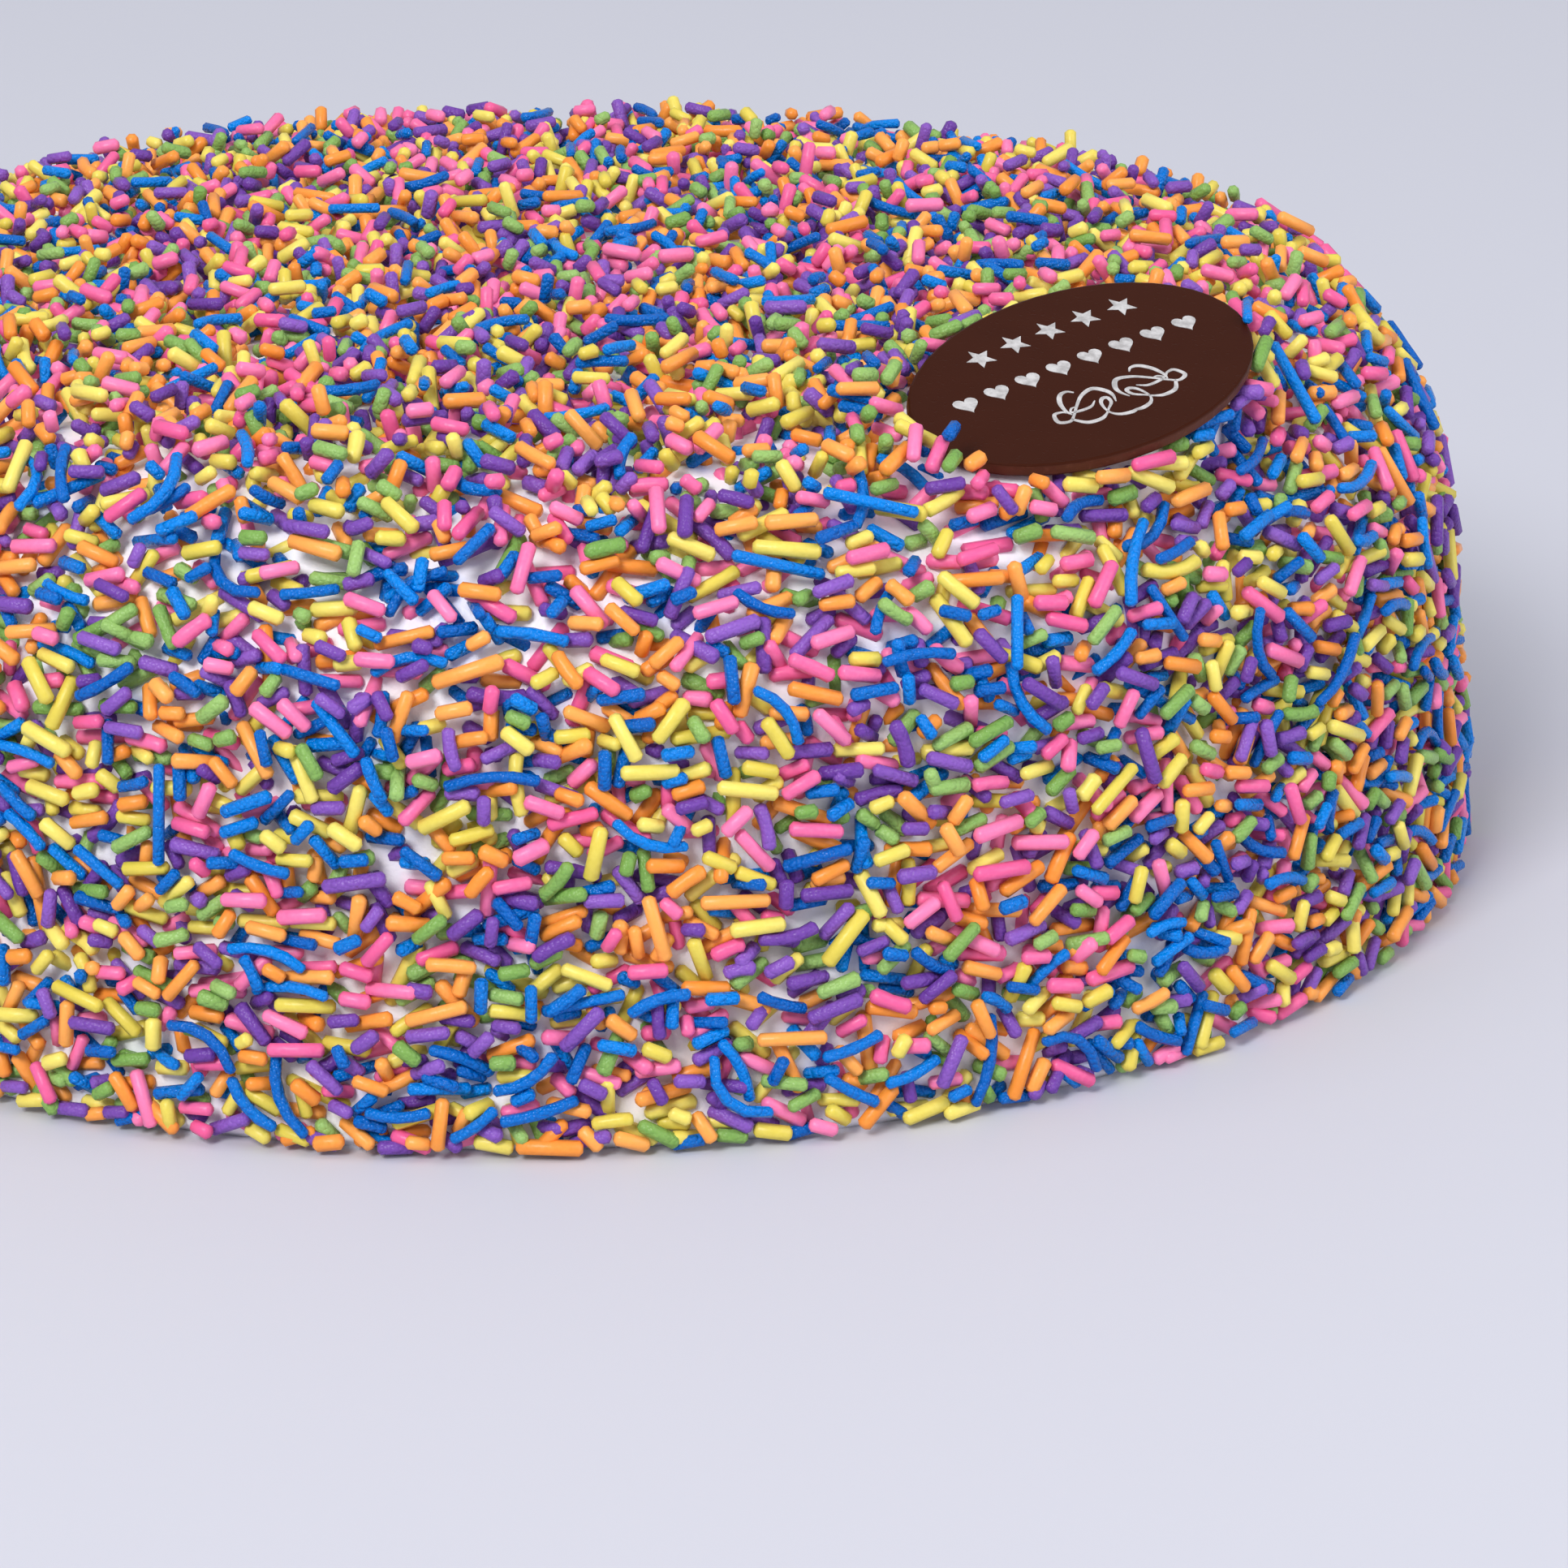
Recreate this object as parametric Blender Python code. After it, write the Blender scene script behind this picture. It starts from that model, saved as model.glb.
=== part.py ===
# Round birthday cake in whipped cream, coated with sugar sprinkles, with an oval chocolate plaque.
import math

import bmesh
import bpy
import numpy as np
from mathutils import Matrix, Vector

MM = 0.001

# Cake: a low drum with a slightly tapered wall and a broad rounded shoulder
BASE_RADIUS = 124.4 * MM
WALL_TOP_RADIUS = 119.4 * MM
SHOULDER_RADIUS = 31.0 * MM
RIM_HEIGHT = 79.4 * MM
CROWN = 1.3 * MM
BASE_ROUND = 1.6 * MM
AROUND = 60
SHOULDER_STEPS = 6
WALL_RISE = RIM_HEIGHT - SHOULDER_RADIUS
WALL_LENGTH = math.hypot(WALL_TOP_RADIUS - BASE_RADIUS, WALL_RISE)
ARC_LENGTH = SHOULDER_RADIUS * math.pi / 2
FLAT_RADIUS = WALL_TOP_RADIUS - SHOULDER_RADIUS
SECTION_LENGTH = WALL_LENGTH + ARC_LENGTH + FLAT_RADIUS
# Hand-spread cream: lobes round the cake, their size, turn and the radial swell they give
SWELLS = ((2, 0.25, 0.9), (3, 0.30, 2.3), (5, 0.22, 4.4), (8, 0.14, 1.2))

# Plaque: an oval plate that leans out over the shoulder at the front right
PLAQUE_CENTRE = Vector((64.2, -71.2, 80.45)) * MM
PLAQUE_TILT = math.radians(20.0)
PLAQUE_LEAN = math.radians(-82.0)
PLAQUE_SPIN = math.radians(32.0)
PLAQUE_HALF_LENGTH = 25.0 * MM
PLAQUE_HALF_WIDTH = 16.1 * MM
PLAQUE_THICKNESS = 1.7 * MM
PLAQUE_EDGE = 0.35 * MM
PLAQUE_AROUND = 44
GAP = 0.3 * MM

# Heap under the plaque, which follows its underside
HEAP_TOP_SHARE = 0.90
HEAP_FOOT_SHARE = 1.45
HEAP_DEPTH = 11.0 * MM

# Sprinkles: how many, their sizes, and the height of their axis over the skin as a share of their radius
SPRINKLES = 330
SHORT_LENGTH = 5.0 * MM
LONG_LENGTH = 10.5 * MM
SHORT_RADIUS = 0.95 * MM
LONG_RADIUS = 0.75 * MM
LENGTH_SPREAD = (1.6, 2.6)
SPRINKLE_SIDES = 5
AXIS_HEIGHT = 0.50
CLEAR_OF_PLAQUE = 1.8 * MM
FLOOR_CLEARANCE = 0.3 * MM
LOWEST_SPRINKLE = 3.2 * MM
AREA_STEPS = 400
SEED = 11
GOLDEN_ANGLE = math.pi * (3 - math.sqrt(5))

CREAM = (0.93, 0.92, 0.95)
CHOCOLATE = (0.055, 0.018, 0.010)
SUGARS = {
    "blue": (0.00, 0.13, 0.62),
    "purple": (0.13, 0.04, 0.35),
    "pink": (0.82, 0.09, 0.27),
    "orange": (0.90, 0.25, 0.02),
    "yellow": (0.80, 0.68, 0.05),
    "green": (0.22, 0.50, 0.05),
}


def material(name, colour, roughness):
    made = bpy.data.materials.new(name)
    made.use_nodes = True
    shader = made.node_tree.nodes["Principled BSDF"]
    shader.inputs["Base Color"].default_value = (*colour, 1.0)
    shader.inputs["Roughness"].default_value = roughness
    made.diffuse_color = (*colour, 1.0)
    return made


def new_object(name, mesh_data, materials):
    mesh = bpy.data.meshes.new(name)
    mesh_data.to_mesh(mesh)
    mesh_data.free()
    for entry in materials:
        mesh.materials.append(entry)
    made = bpy.data.objects.new(name, mesh)
    bpy.context.scene.collection.objects.link(made)
    return made


def join_by(target, other, operation):
    """Boolean of the target with an object or with all objects of a collection, which are then removed."""
    modifier = target.modifiers.new(operation, "BOOLEAN")
    modifier.operation = operation
    modifier.solver = "MANIFOLD"
    modifier.material_mode = "TRANSFER"
    if isinstance(other, bpy.types.Collection):
        modifier.operand_type = "COLLECTION"
        modifier.collection = other
        used = list(other.objects)
    else:
        modifier.object = other
        used = [other]
    graph = bpy.context.evaluated_depsgraph_get()
    result = bpy.data.meshes.new_from_object(target.evaluated_get(graph))
    target.modifiers.remove(modifier)
    target.data = result
    for tool in used:
        bpy.data.objects.remove(tool)


def swell(turn, height):
    """Radial unevenness of the cream, which dies away towards the foot."""
    rise = min(height / RIM_HEIGHT, 1.0)
    waves = (size * math.sin(lobes * turn + start) for lobes, size, start in SWELLS)
    return sum(waves) * MM * (0.35 + 0.65 * rise)


def profile(distance):
    """Radius, height and outward normal at a distance along the section, from the foot to the crown."""
    if distance < WALL_LENGTH:
        share = distance / WALL_LENGTH
        slope = BASE_RADIUS - WALL_TOP_RADIUS
        normal = Vector((WALL_RISE, slope)).normalized()
        return BASE_RADIUS - slope * share, WALL_RISE * share, normal
    distance -= WALL_LENGTH
    if distance < ARC_LENGTH:
        turn = distance / SHOULDER_RADIUS
        normal = Vector((math.cos(turn), math.sin(turn)))
        return FLAT_RADIUS + SHOULDER_RADIUS * normal.x, WALL_RISE + SHOULDER_RADIUS * normal.y, normal
    radius = max(FLAT_RADIUS + ARC_LENGTH - distance, 0.0)
    height = RIM_HEIGHT + CROWN * (1 - (radius / FLAT_RADIUS) ** 2)
    return radius, height, Vector((0.0, 1.0))


def on_cake(distance, turn):
    """Point, normal and level direction on the cake's skin."""
    radius, height, normal = profile(distance)
    outward = Vector((math.cos(turn), math.sin(turn), 0.0))
    radius += swell(turn, height) * normal.x
    height += swell(turn, height) * normal.y
    point = outward * radius + Vector((0.0, 0.0, height))
    face = outward * normal.x + Vector((0.0, 0.0, normal.y))
    return point, face, Vector((-outward.y, outward.x, 0.0))


def cake_drum():
    """Cream skin as rings from a softly rounded foot to the crown, closed by a flat underside."""
    stops = [BASE_ROUND, WALL_LENGTH / 2, WALL_LENGTH]
    stops += [WALL_LENGTH + ARC_LENGTH * step / SHOULDER_STEPS for step in range(1, SHOULDER_STEPS + 1)]
    stops += [SECTION_LENGTH - FLAT_RADIUS * share for share in (2 / 3, 1 / 3)]
    made = bmesh.new()
    turns = [2 * math.pi * step / AROUND for step in range(AROUND)]
    foot_radius = BASE_RADIUS - BASE_ROUND
    rings = [[made.verts.new((foot_radius * math.cos(t), foot_radius * math.sin(t), 0.0)) for t in turns]]
    rings += [[made.verts.new(on_cake(stop, t)[0]) for t in turns] for stop in stops]
    for lower, upper in zip(rings, rings[1:]):
        for step in range(AROUND):
            after = (step + 1) % AROUND
            made.faces.new((lower[step], lower[after], upper[after], upper[step]))
    made.faces.new(reversed(rings[0]))
    crown = made.verts.new((0.0, 0.0, RIM_HEIGHT + CROWN))
    for step in range(AROUND):
        made.faces.new((rings[-1][step], rings[-1][(step + 1) % AROUND], crown))
    return made


def plaque_frame():
    """Matrix whose X runs along the oval, Y across it and Z out of its face."""
    lean = Matrix.Rotation(PLAQUE_LEAN, 4, "Z") @ Matrix.Rotation(PLAQUE_TILT, 4, "Y")
    spin = Matrix.Rotation(PLAQUE_SPIN + math.pi / 2, 4, "Z")
    return Matrix.Translation(PLAQUE_CENTRE) @ lean @ spin


def oval_stack(levels, around):
    """Closed solid through oval rings, each given as growth of both half axes, share of them and height."""
    made = bmesh.new()
    rings = []
    for growth, share, height in levels:
        ring = []
        for step in range(around):
            turn = 2 * math.pi * step / around
            along = (PLAQUE_HALF_LENGTH * share + growth) * math.cos(turn)
            across = (PLAQUE_HALF_WIDTH * share + growth) * math.sin(turn)
            ring.append(made.verts.new((along, across, height)))
        rings.append(ring)
    for lower, upper in zip(rings, rings[1:]):
        for step in range(around):
            after = (step + 1) % around
            made.faces.new((lower[step], lower[after], upper[after], upper[step]))
    made.faces.new(reversed(rings[0]))
    made.faces.new(rings[-1])
    made.transform(plaque_frame())
    return made


def sprinkle_plan():
    """Length, share of the surface and turn of each sprinkle, the largest first, evenly spread."""
    chance = np.random.default_rng(SEED)
    lengths = np.sort(chance.beta(*LENGTH_SPREAD, SPRINKLES))[::-1]
    shares = (np.arange(SPRINKLES) + 0.5) / SPRINKLES
    turns = np.arange(SPRINKLES) * GOLDEN_ANGLE
    order = chance.permutation(SPRINKLES)
    return [
        (length, shares[place], turns[place], chance.uniform(0, math.pi), chance.integers(len(SUGARS)))
        for length, place in zip(lengths, order)
    ]


def distance_at(share):
    """Distance along the section below which this share of the skin's area lies."""
    stops = np.linspace(LOWEST_SPRINKLE, SECTION_LENGTH, AREA_STEPS)
    areas = np.cumsum([profile(stop)[0] for stop in stops])
    return stops[np.searchsorted(areas, share * areas[-1])]


def clear_of_plaque(points, inverse):
    for point in points:
        local = inverse @ point
        across = math.hypot(
            local.x / (PLAQUE_HALF_LENGTH + CLEAR_OF_PLAQUE),
            local.y / (PLAQUE_HALF_WIDTH + CLEAR_OF_PLAQUE),
        )
        if across < 1.0:
            return False
    return True


def rod(centre, along, normal, length, radius):
    """Blunt straight sprinkle with a flat side up."""
    made = bmesh.new()
    across = normal.cross(along)
    rings = []
    for place in (-0.5, 0.5):
        ring = []
        for step in range(SPRINKLE_SIDES):
            turn = 2 * math.pi * (step + 0.5) / SPRINKLE_SIDES + math.pi / 2
            off = across * math.cos(turn) + normal * math.sin(turn)
            ring.append(made.verts.new(centre + along * length * place + off * radius))
        rings.append(ring)
    made.faces.new(reversed(rings[0]))
    made.faces.new(rings[1])
    for step in range(SPRINKLE_SIDES):
        after = (step + 1) % SPRINKLE_SIDES
        made.faces.new((rings[0][step], rings[0][after], rings[1][after], rings[1][step]))
    bmesh.ops.recalc_face_normals(made, faces=made.faces)
    return made


def sprinkle_coat(sugars):
    """Collection of sprinkles that lie on the cake's skin, clear of the floor and of the plaque."""
    coat = bpy.data.collections.new("coat")
    bpy.context.scene.collection.children.link(coat)
    inverse = plaque_frame().inverted()
    for size, share, turn, heading, sugar in sprinkle_plan():
        length = SHORT_LENGTH + (LONG_LENGTH - SHORT_LENGTH) * size
        radius = SHORT_RADIUS + (LONG_RADIUS - SHORT_RADIUS) * size
        point, normal, level = on_cake(distance_at(share), turn)
        along = level * math.cos(heading) + normal.cross(level) * math.sin(heading)
        centre = point + normal * radius * AXIS_HEIGHT
        ends = [centre + along * length * side for side in (-0.5, 0.0, 0.5)]
        lowest = min(end.z for end in ends) - radius
        if lowest < FLOOR_CLEARANCE or not clear_of_plaque(ends, inverse):
            continue
        sprinkle = new_object("sprinkle", rod(centre, along, normal, length, radius), [sugars[sugar]])
        bpy.context.scene.collection.objects.unlink(sprinkle)
        coat.objects.link(sprinkle)
    print("sprinkles", len(coat.objects))
    return coat


def shade_smooth(made, angle):
    for polygon in made.data.polygons:
        polygon.use_smooth = True
    made.data.set_sharp_from_angle(angle=angle)


for old in list(bpy.data.objects):
    bpy.data.objects.remove(old)

cream = material("cream", CREAM, 0.55)
chocolate = material("chocolate", CHOCOLATE, 0.35)
sugars = [material("sugar_" + name, colour, 0.35) for name, colour in SUGARS.items()]

# Cake drum, with the heap under the plaque and the seat that keeps it clear of the plaque
cake = new_object("cake", cake_drum(), [cream])
heap_top = -PLAQUE_THICKNESS - GAP
heap = oval_stack(
    ((0.0, HEAP_FOOT_SHARE, heap_top - HEAP_DEPTH), (0.0, HEAP_TOP_SHARE, heap_top)),
    PLAQUE_AROUND,
)
join_by(cake, new_object("heap", heap, [cream]), "UNION")
seat = oval_stack(((GAP, 1.0, heap_top), (GAP, 1.0, HEAP_DEPTH)), PLAQUE_AROUND)
join_by(cake, new_object("seat", seat, [cream]), "DIFFERENCE")
join_by(cake, sprinkle_coat(sugars), "UNION")
shade_smooth(cake, math.radians(35))

# Plaque with softly rounded edges
rounded = PLAQUE_EDGE * (1 - math.sqrt(0.5))
plaque_body = oval_stack(
    (
        (-PLAQUE_EDGE, 1.0, -PLAQUE_THICKNESS),
        (-rounded, 1.0, rounded - PLAQUE_THICKNESS),
        (0.0, 1.0, PLAQUE_EDGE - PLAQUE_THICKNESS),
        (0.0, 1.0, -PLAQUE_EDGE),
        (-rounded, 1.0, -rounded),
        (-PLAQUE_EDGE, 1.0, 0.0),
    ),
    PLAQUE_AROUND,
)
plaque = new_object("plaque", plaque_body, [chocolate])
shade_smooth(plaque, math.radians(50))
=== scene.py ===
# %% [markdown]
# # A birthday cake under a coat of sprinkles
#
# The real thing is a low round cake in whipped cream. Sugar sprinkles in six colours were poured over
# the top until they lay in a pile, and pressed by hand onto the side, where some cream still shows. An
# oval plaque of dark chocolate leans on the rounded edge.
#
# The frame holds the solid cake and the plaque at their true size. This script adds what the eye sees:
# the cream, thousands of single sprinkles that lie on each other, and the finish of every surface.

# %% Load the frame
import math

import bmesh
import bpy
import numpy as np
from mathutils import Matrix, Vector
from mathutils.kdtree import KDTree


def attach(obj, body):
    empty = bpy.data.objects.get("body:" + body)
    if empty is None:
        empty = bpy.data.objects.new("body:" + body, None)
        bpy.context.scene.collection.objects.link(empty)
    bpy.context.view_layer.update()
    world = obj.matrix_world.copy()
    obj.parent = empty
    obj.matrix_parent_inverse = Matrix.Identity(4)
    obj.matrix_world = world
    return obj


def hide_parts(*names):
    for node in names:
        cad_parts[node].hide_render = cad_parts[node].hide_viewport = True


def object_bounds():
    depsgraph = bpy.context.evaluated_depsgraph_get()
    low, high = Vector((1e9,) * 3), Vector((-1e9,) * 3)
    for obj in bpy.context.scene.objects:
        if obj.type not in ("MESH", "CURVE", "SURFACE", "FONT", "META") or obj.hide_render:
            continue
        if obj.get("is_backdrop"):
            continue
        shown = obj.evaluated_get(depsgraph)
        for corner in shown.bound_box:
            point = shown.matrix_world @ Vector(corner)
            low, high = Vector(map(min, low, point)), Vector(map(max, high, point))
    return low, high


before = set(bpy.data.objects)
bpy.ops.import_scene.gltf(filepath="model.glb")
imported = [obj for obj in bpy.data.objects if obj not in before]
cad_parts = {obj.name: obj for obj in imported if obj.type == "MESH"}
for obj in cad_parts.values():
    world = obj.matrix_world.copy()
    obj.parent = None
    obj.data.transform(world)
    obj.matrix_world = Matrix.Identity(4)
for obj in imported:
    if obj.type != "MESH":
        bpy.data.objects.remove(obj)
CAD_BOX = np.array(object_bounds())
MM = 0.001
print("solid cake", (CAD_BOX[1] - CAD_BOX[0]).round(4), "m")

# %% [markdown]
# ## Camera
#
# The photograph was taken from a little above the top edge, close enough that the near side looks
# larger. A long lens from about 0.77 m gives that view. The whole camera is turned a little to the
# right of the cake's axis and rolled by half a degree, so it is built from three angles. The focal
# length is given as a share of the sensor's width, because only that share can be read from a picture.

# %% Camera at the photograph's viewpoint
CAMERA_DISTANCE = 0.770
CAMERA_ELEVATION = math.radians(18.94)
CAMERA_YAW = math.radians(2.40)
CAMERA_PITCH = math.radians(18.61)
CAMERA_ROLL = math.radians(-0.50)
FOCAL_SHARE = 3.569
SENSOR = 36.0
NEAREST_SEEN = 0.01


def camera_matrix():
    place = Vector((0.0, -math.cos(CAMERA_ELEVATION), math.sin(CAMERA_ELEVATION))) * CAMERA_DISTANCE
    level = Matrix.Rotation(-CAMERA_YAW, 4, "Z")
    tip = Matrix.Rotation(math.pi / 2 - CAMERA_PITCH, 4, "X")
    roll = Matrix.Rotation(CAMERA_ROLL, 4, "Z")
    return Matrix.Translation(place) @ level @ tip @ roll


camera = bpy.data.objects.new("camera", bpy.data.cameras.new("camera"))
camera.data.sensor_width = SENSOR
camera.data.lens = FOCAL_SHARE * SENSOR
camera.data.clip_start = NEAREST_SEEN
camera.matrix_world = camera_matrix()
bpy.context.scene.collection.objects.link(camera)
bpy.context.scene.camera = camera
print("lens", round(camera.data.lens, 1), "mm")

# %% [markdown]
# ## Section of the cake
#
# Everything that lies on the cake is placed by two numbers: the distance from the crown, measured
# along the skin, and the turn round the axis. One function gives the point and the outward normal
# there. It works on whole arrays at once, because there are many thousands of sprinkles to place.
# The cream lies inside the solid's skin by the depth of the coat: more on the top, where the
# sprinkles are piled, than on the side.

# %% Section of the cream as a function of the distance from the crown
FOOT_RADIUS = 120.5 * MM
WALL_TOP_RADIUS = 115.7 * MM
RIM_HEIGHT = 75.0 * MM
SHOULDER_RADIUS = 29.5 * MM
CROWN = 1.3 * MM

FLAT_RADIUS = WALL_TOP_RADIUS - SHOULDER_RADIUS
WALL_RISE = RIM_HEIGHT - SHOULDER_RADIUS
ARC_LENGTH = SHOULDER_RADIUS * math.pi / 2
WALL_LENGTH = math.hypot(FOOT_RADIUS - WALL_TOP_RADIUS, WALL_RISE)
SECTION_LENGTH = FLAT_RADIUS + ARC_LENGTH + WALL_LENGTH


def section(distance):
    """Radius, height, the normal's parts outward and up, and the curvature, at distances from the crown."""
    distance = np.asarray(distance, float)
    flat = distance <= FLAT_RADIUS
    wall = distance >= FLAT_RADIUS + ARC_LENGTH
    turn = np.clip((distance - FLAT_RADIUS) / SHOULDER_RADIUS, 0, math.pi / 2)
    down = np.clip((distance - FLAT_RADIUS - ARC_LENGTH) / WALL_LENGTH, 0, None)
    radius = FLAT_RADIUS + SHOULDER_RADIUS * np.sin(turn) + (FOOT_RADIUS - WALL_TOP_RADIUS) * down
    radius = np.where(flat, distance, radius)
    height = WALL_RISE + SHOULDER_RADIUS * np.cos(turn) - WALL_RISE * down
    height = height + CROWN * np.clip(1 - (distance / FLAT_RADIUS) ** 2, 0, None)
    slope = math.atan2(FOOT_RADIUS - WALL_TOP_RADIUS, WALL_RISE)
    lean = np.where(wall, math.pi / 2 - slope, turn)
    bend = np.where(flat | wall, 0.0, 1 / SHOULDER_RADIUS)
    return radius, height, np.sin(lean), np.cos(lean), bend


def skin(distance, turn):
    """Point, outward normal, level direction and uphill direction on the section's surface."""
    radius, height, out, up, _ = section(distance)
    c, s = np.cos(turn), np.sin(turn)
    point = np.stack([radius * c, radius * s, height], -1)
    normal = np.stack([out * c, out * s, up], -1)
    level = np.stack([-s, c, np.zeros_like(s)], -1)
    return point, normal, level, np.cross(normal, level)


print("from crown to foot", round(SECTION_LENGTH / MM, 1), "mm")

# %% [markdown]
# ## Place of the plaque
#
# The plaque's place comes from its solid, which the frame holds. Its plane is needed here because the
# cream under it, the sprinkles round it and its print all follow it. A helper measures how high the
# plaque's plane is over any point of the skin, along the skin's normal, and where in the oval that is:
# how far out, with 1 on the edge, and at which angle.

# %% Plaque's plane and its own axes
PLAQUE_TILT = math.radians(20.0)
PLAQUE_LEAN = math.radians(-82.0)
PLAQUE_SPIN = math.radians(32.0)
PLAQUE_CENTRE = Vector((64.2, -71.2, 80.45)) * MM
PLAQUE_HALF_LENGTH = 25.0 * MM
PLAQUE_HALF_WIDTH = 16.1 * MM
PLAQUE_THICKNESS = 1.7 * MM

PLAQUE_FRAME = (
    Matrix.Translation(PLAQUE_CENTRE)
    @ Matrix.Rotation(PLAQUE_LEAN, 4, "Z")
    @ Matrix.Rotation(PLAQUE_TILT, 4, "Y")
    @ Matrix.Rotation(PLAQUE_SPIN + math.pi / 2, 4, "Z")
)
PLAQUE_AXES = np.array(PLAQUE_FRAME.to_3x3())
LEAST_FACING = 0.2
NEAR_REACH = 3 * PLAQUE_HALF_LENGTH
NOWHERE_NEAR = 9.0


def to_plaque(distance, turn):
    """Height of the plaque's face over the skin, how far out in the oval, and the angle there in degrees."""
    point, normal, _, _ = skin(distance, turn)
    offset = point - np.array(PLAQUE_CENTRE)
    face = PLAQUE_AXES[:, 2]
    height = -(offset @ face) / np.maximum(normal @ face, LEAST_FACING)
    local = (offset + normal * height[..., None]) @ PLAQUE_AXES
    out = np.hypot(local[..., 0] / PLAQUE_HALF_LENGTH, local[..., 1] / PLAQUE_HALF_WIDTH)
    near = (normal @ face > LEAST_FACING) & (np.linalg.norm(offset, axis=-1) < NEAR_REACH)
    angle = np.degrees(np.arctan2(local[..., 1], local[..., 0])) % 360
    return height, np.where(near, out, NOWHERE_NEAR), angle


print("plaque faces", PLAQUE_AXES[:, 2].round(2))

# %% [markdown]
# ## Height of the cream
#
# Cream put on with a spatula is never quite even: it has broad swells and small ridges. A sum of a few
# waves in the two skin directions gives both. They fade out at the crown and at the foot. Under the
# plaque the cream rises to a heap that props the raised end, and is pressed down where the low edge of
# the plaque sinks in.

# %% Unevenness of the cream and its heap under the plaque
rng = np.random.default_rng(20)
BROAD_WAVES = [(lobes, rng.uniform(0, 9), rng.uniform(0, 9)) for lobes in (2, 3, 5, 8)]
FINE_WAVES = [(rng.uniform(14, 40), rng.uniform(-260, 260), rng.uniform(0, 9)) for _ in range(10)]
BROAD_RATE = 12
BROAD_SWELL = 0.28 * MM
FINE_SWELL = 0.10 * MM
FOOT_FADE = 12 * MM
CROWN_FADE = 40 * MM
SEAT_GAP = 0.35 * MM
SEAT_REACH = 1.06
HEAP_CORE = 0.72
HEAP_REACH = 1.40


def smoothstep(low, high, value):
    share = np.clip((value - low) / (high - low), 0, 1)
    return share * share * (3 - 2 * share)


def cream_height(distance, turn):
    """How far the cream stands over the section, in metres."""
    rise = smoothstep(0.0, FOOT_FADE, SECTION_LENGTH - distance)
    broad = sum(np.sin(n * turn + a) * np.cos(BROAD_RATE * distance + b) for n, a, b in BROAD_WAVES)
    fade = smoothstep(0.0, CROWN_FADE, distance)
    fine = sum(np.sin(round(n) * turn + k * distance + a) for n, k, a in FINE_WAVES) * FINE_SWELL
    height = (broad * BROAD_SWELL * fade + fine * fade) * rise
    face, out, _ = to_plaque(distance, turn)
    underside = face - PLAQUE_THICKNESS
    heap = smoothstep(HEAP_REACH, HEAP_CORE, out)
    height = height + heap * (underside - SEAT_GAP - height)
    return np.where(out < SEAT_REACH, np.minimum(height, underside - SEAT_GAP), height)


print("swells up to", round(4 * BROAD_SWELL / MM, 2), "mm")

# %% [markdown]
# ## Cream
#
# The cream is one closed body. Its half section is a line of a few points, and bmesh's spin operator
# turns that line round the axis. Afterwards every vertex is moved along its normal by the height above.
# The foot is cut off a little, as a rounded edge, and the flat underside is closed with a disc.

# %% Spin the section of the cream
AROUND = 264
SECTION_STEP = 1.3 * MM
FOOT_ROUND = 1.4 * MM
WELD = 1e-6
UNDERSIDE = 0.5 * MM


def cream_mesh():
    made = bmesh.new()
    distances = np.linspace(0, SECTION_LENGTH - FOOT_ROUND, round(SECTION_LENGTH / SECTION_STEP))
    radii, heights, _, _, _ = section(distances)
    line = [made.verts.new((radius, 0.0, height)) for radius, height in zip(radii, heights)]
    line.append(made.verts.new((FOOT_RADIUS - FOOT_ROUND, 0.0, 0.0)))
    line.append(made.verts.new((0.0, 0.0, 0.0)))
    for first, second in zip(line, line[1:]):
        made.edges.new((first, second))
    bmesh.ops.spin(
        made, geom=made.verts[:] + made.edges[:], cent=(0, 0, 0), axis=(0, 0, 1),
        angle=2 * math.pi, steps=AROUND, use_merge=True, use_duplicate=False,
    )
    bmesh.ops.remove_doubles(made, verts=made.verts, dist=WELD)
    bmesh.ops.recalc_face_normals(made, faces=made.faces)
    return made


def unroll(points):
    """Distance from the crown and turn of points on the section's surface."""
    radius = np.hypot(points[:, 0], points[:, 1])
    over = np.arctan2(radius - FLAT_RADIUS, points[:, 2] - WALL_RISE)
    arc = FLAT_RADIUS + np.clip(over, 0, math.pi / 2) * SHOULDER_RADIUS
    wall = FLAT_RADIUS + ARC_LENGTH + WALL_LENGTH * (1 - points[:, 2] / WALL_RISE)
    distance = np.where(radius < FLAT_RADIUS, radius, np.where(points[:, 2] < WALL_RISE, wall, arc))
    return distance, np.arctan2(points[:, 1], points[:, 0])


def new_piece(name, mesh_data):
    mesh = bpy.data.meshes.new(name)
    mesh_data.to_mesh(mesh)
    mesh_data.free()
    made = bpy.data.objects.new(name, mesh)
    bpy.context.scene.collection.objects.link(made)
    mesh.shade_smooth()
    return made


def vertices_of(mesh):
    found = np.empty(len(mesh.vertices) * 3, np.float32)
    mesh.vertices.foreach_get("co", found)
    return found.reshape(-1, 3).astype(float)


cream = new_piece("cream", cream_mesh())
points = vertices_of(cream.data)
lifted = points[:, 2] > UNDERSIDE
distance, turn = unroll(points)
normal = skin(distance, turn)[1]
points[lifted] += (normal * cream_height(distance, turn)[:, None])[lifted]
cream.data.vertices.foreach_set("co", points.astype(np.float32).ravel())
cream.data.update()
print("cream", len(cream.data.polygons), "faces")

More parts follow.
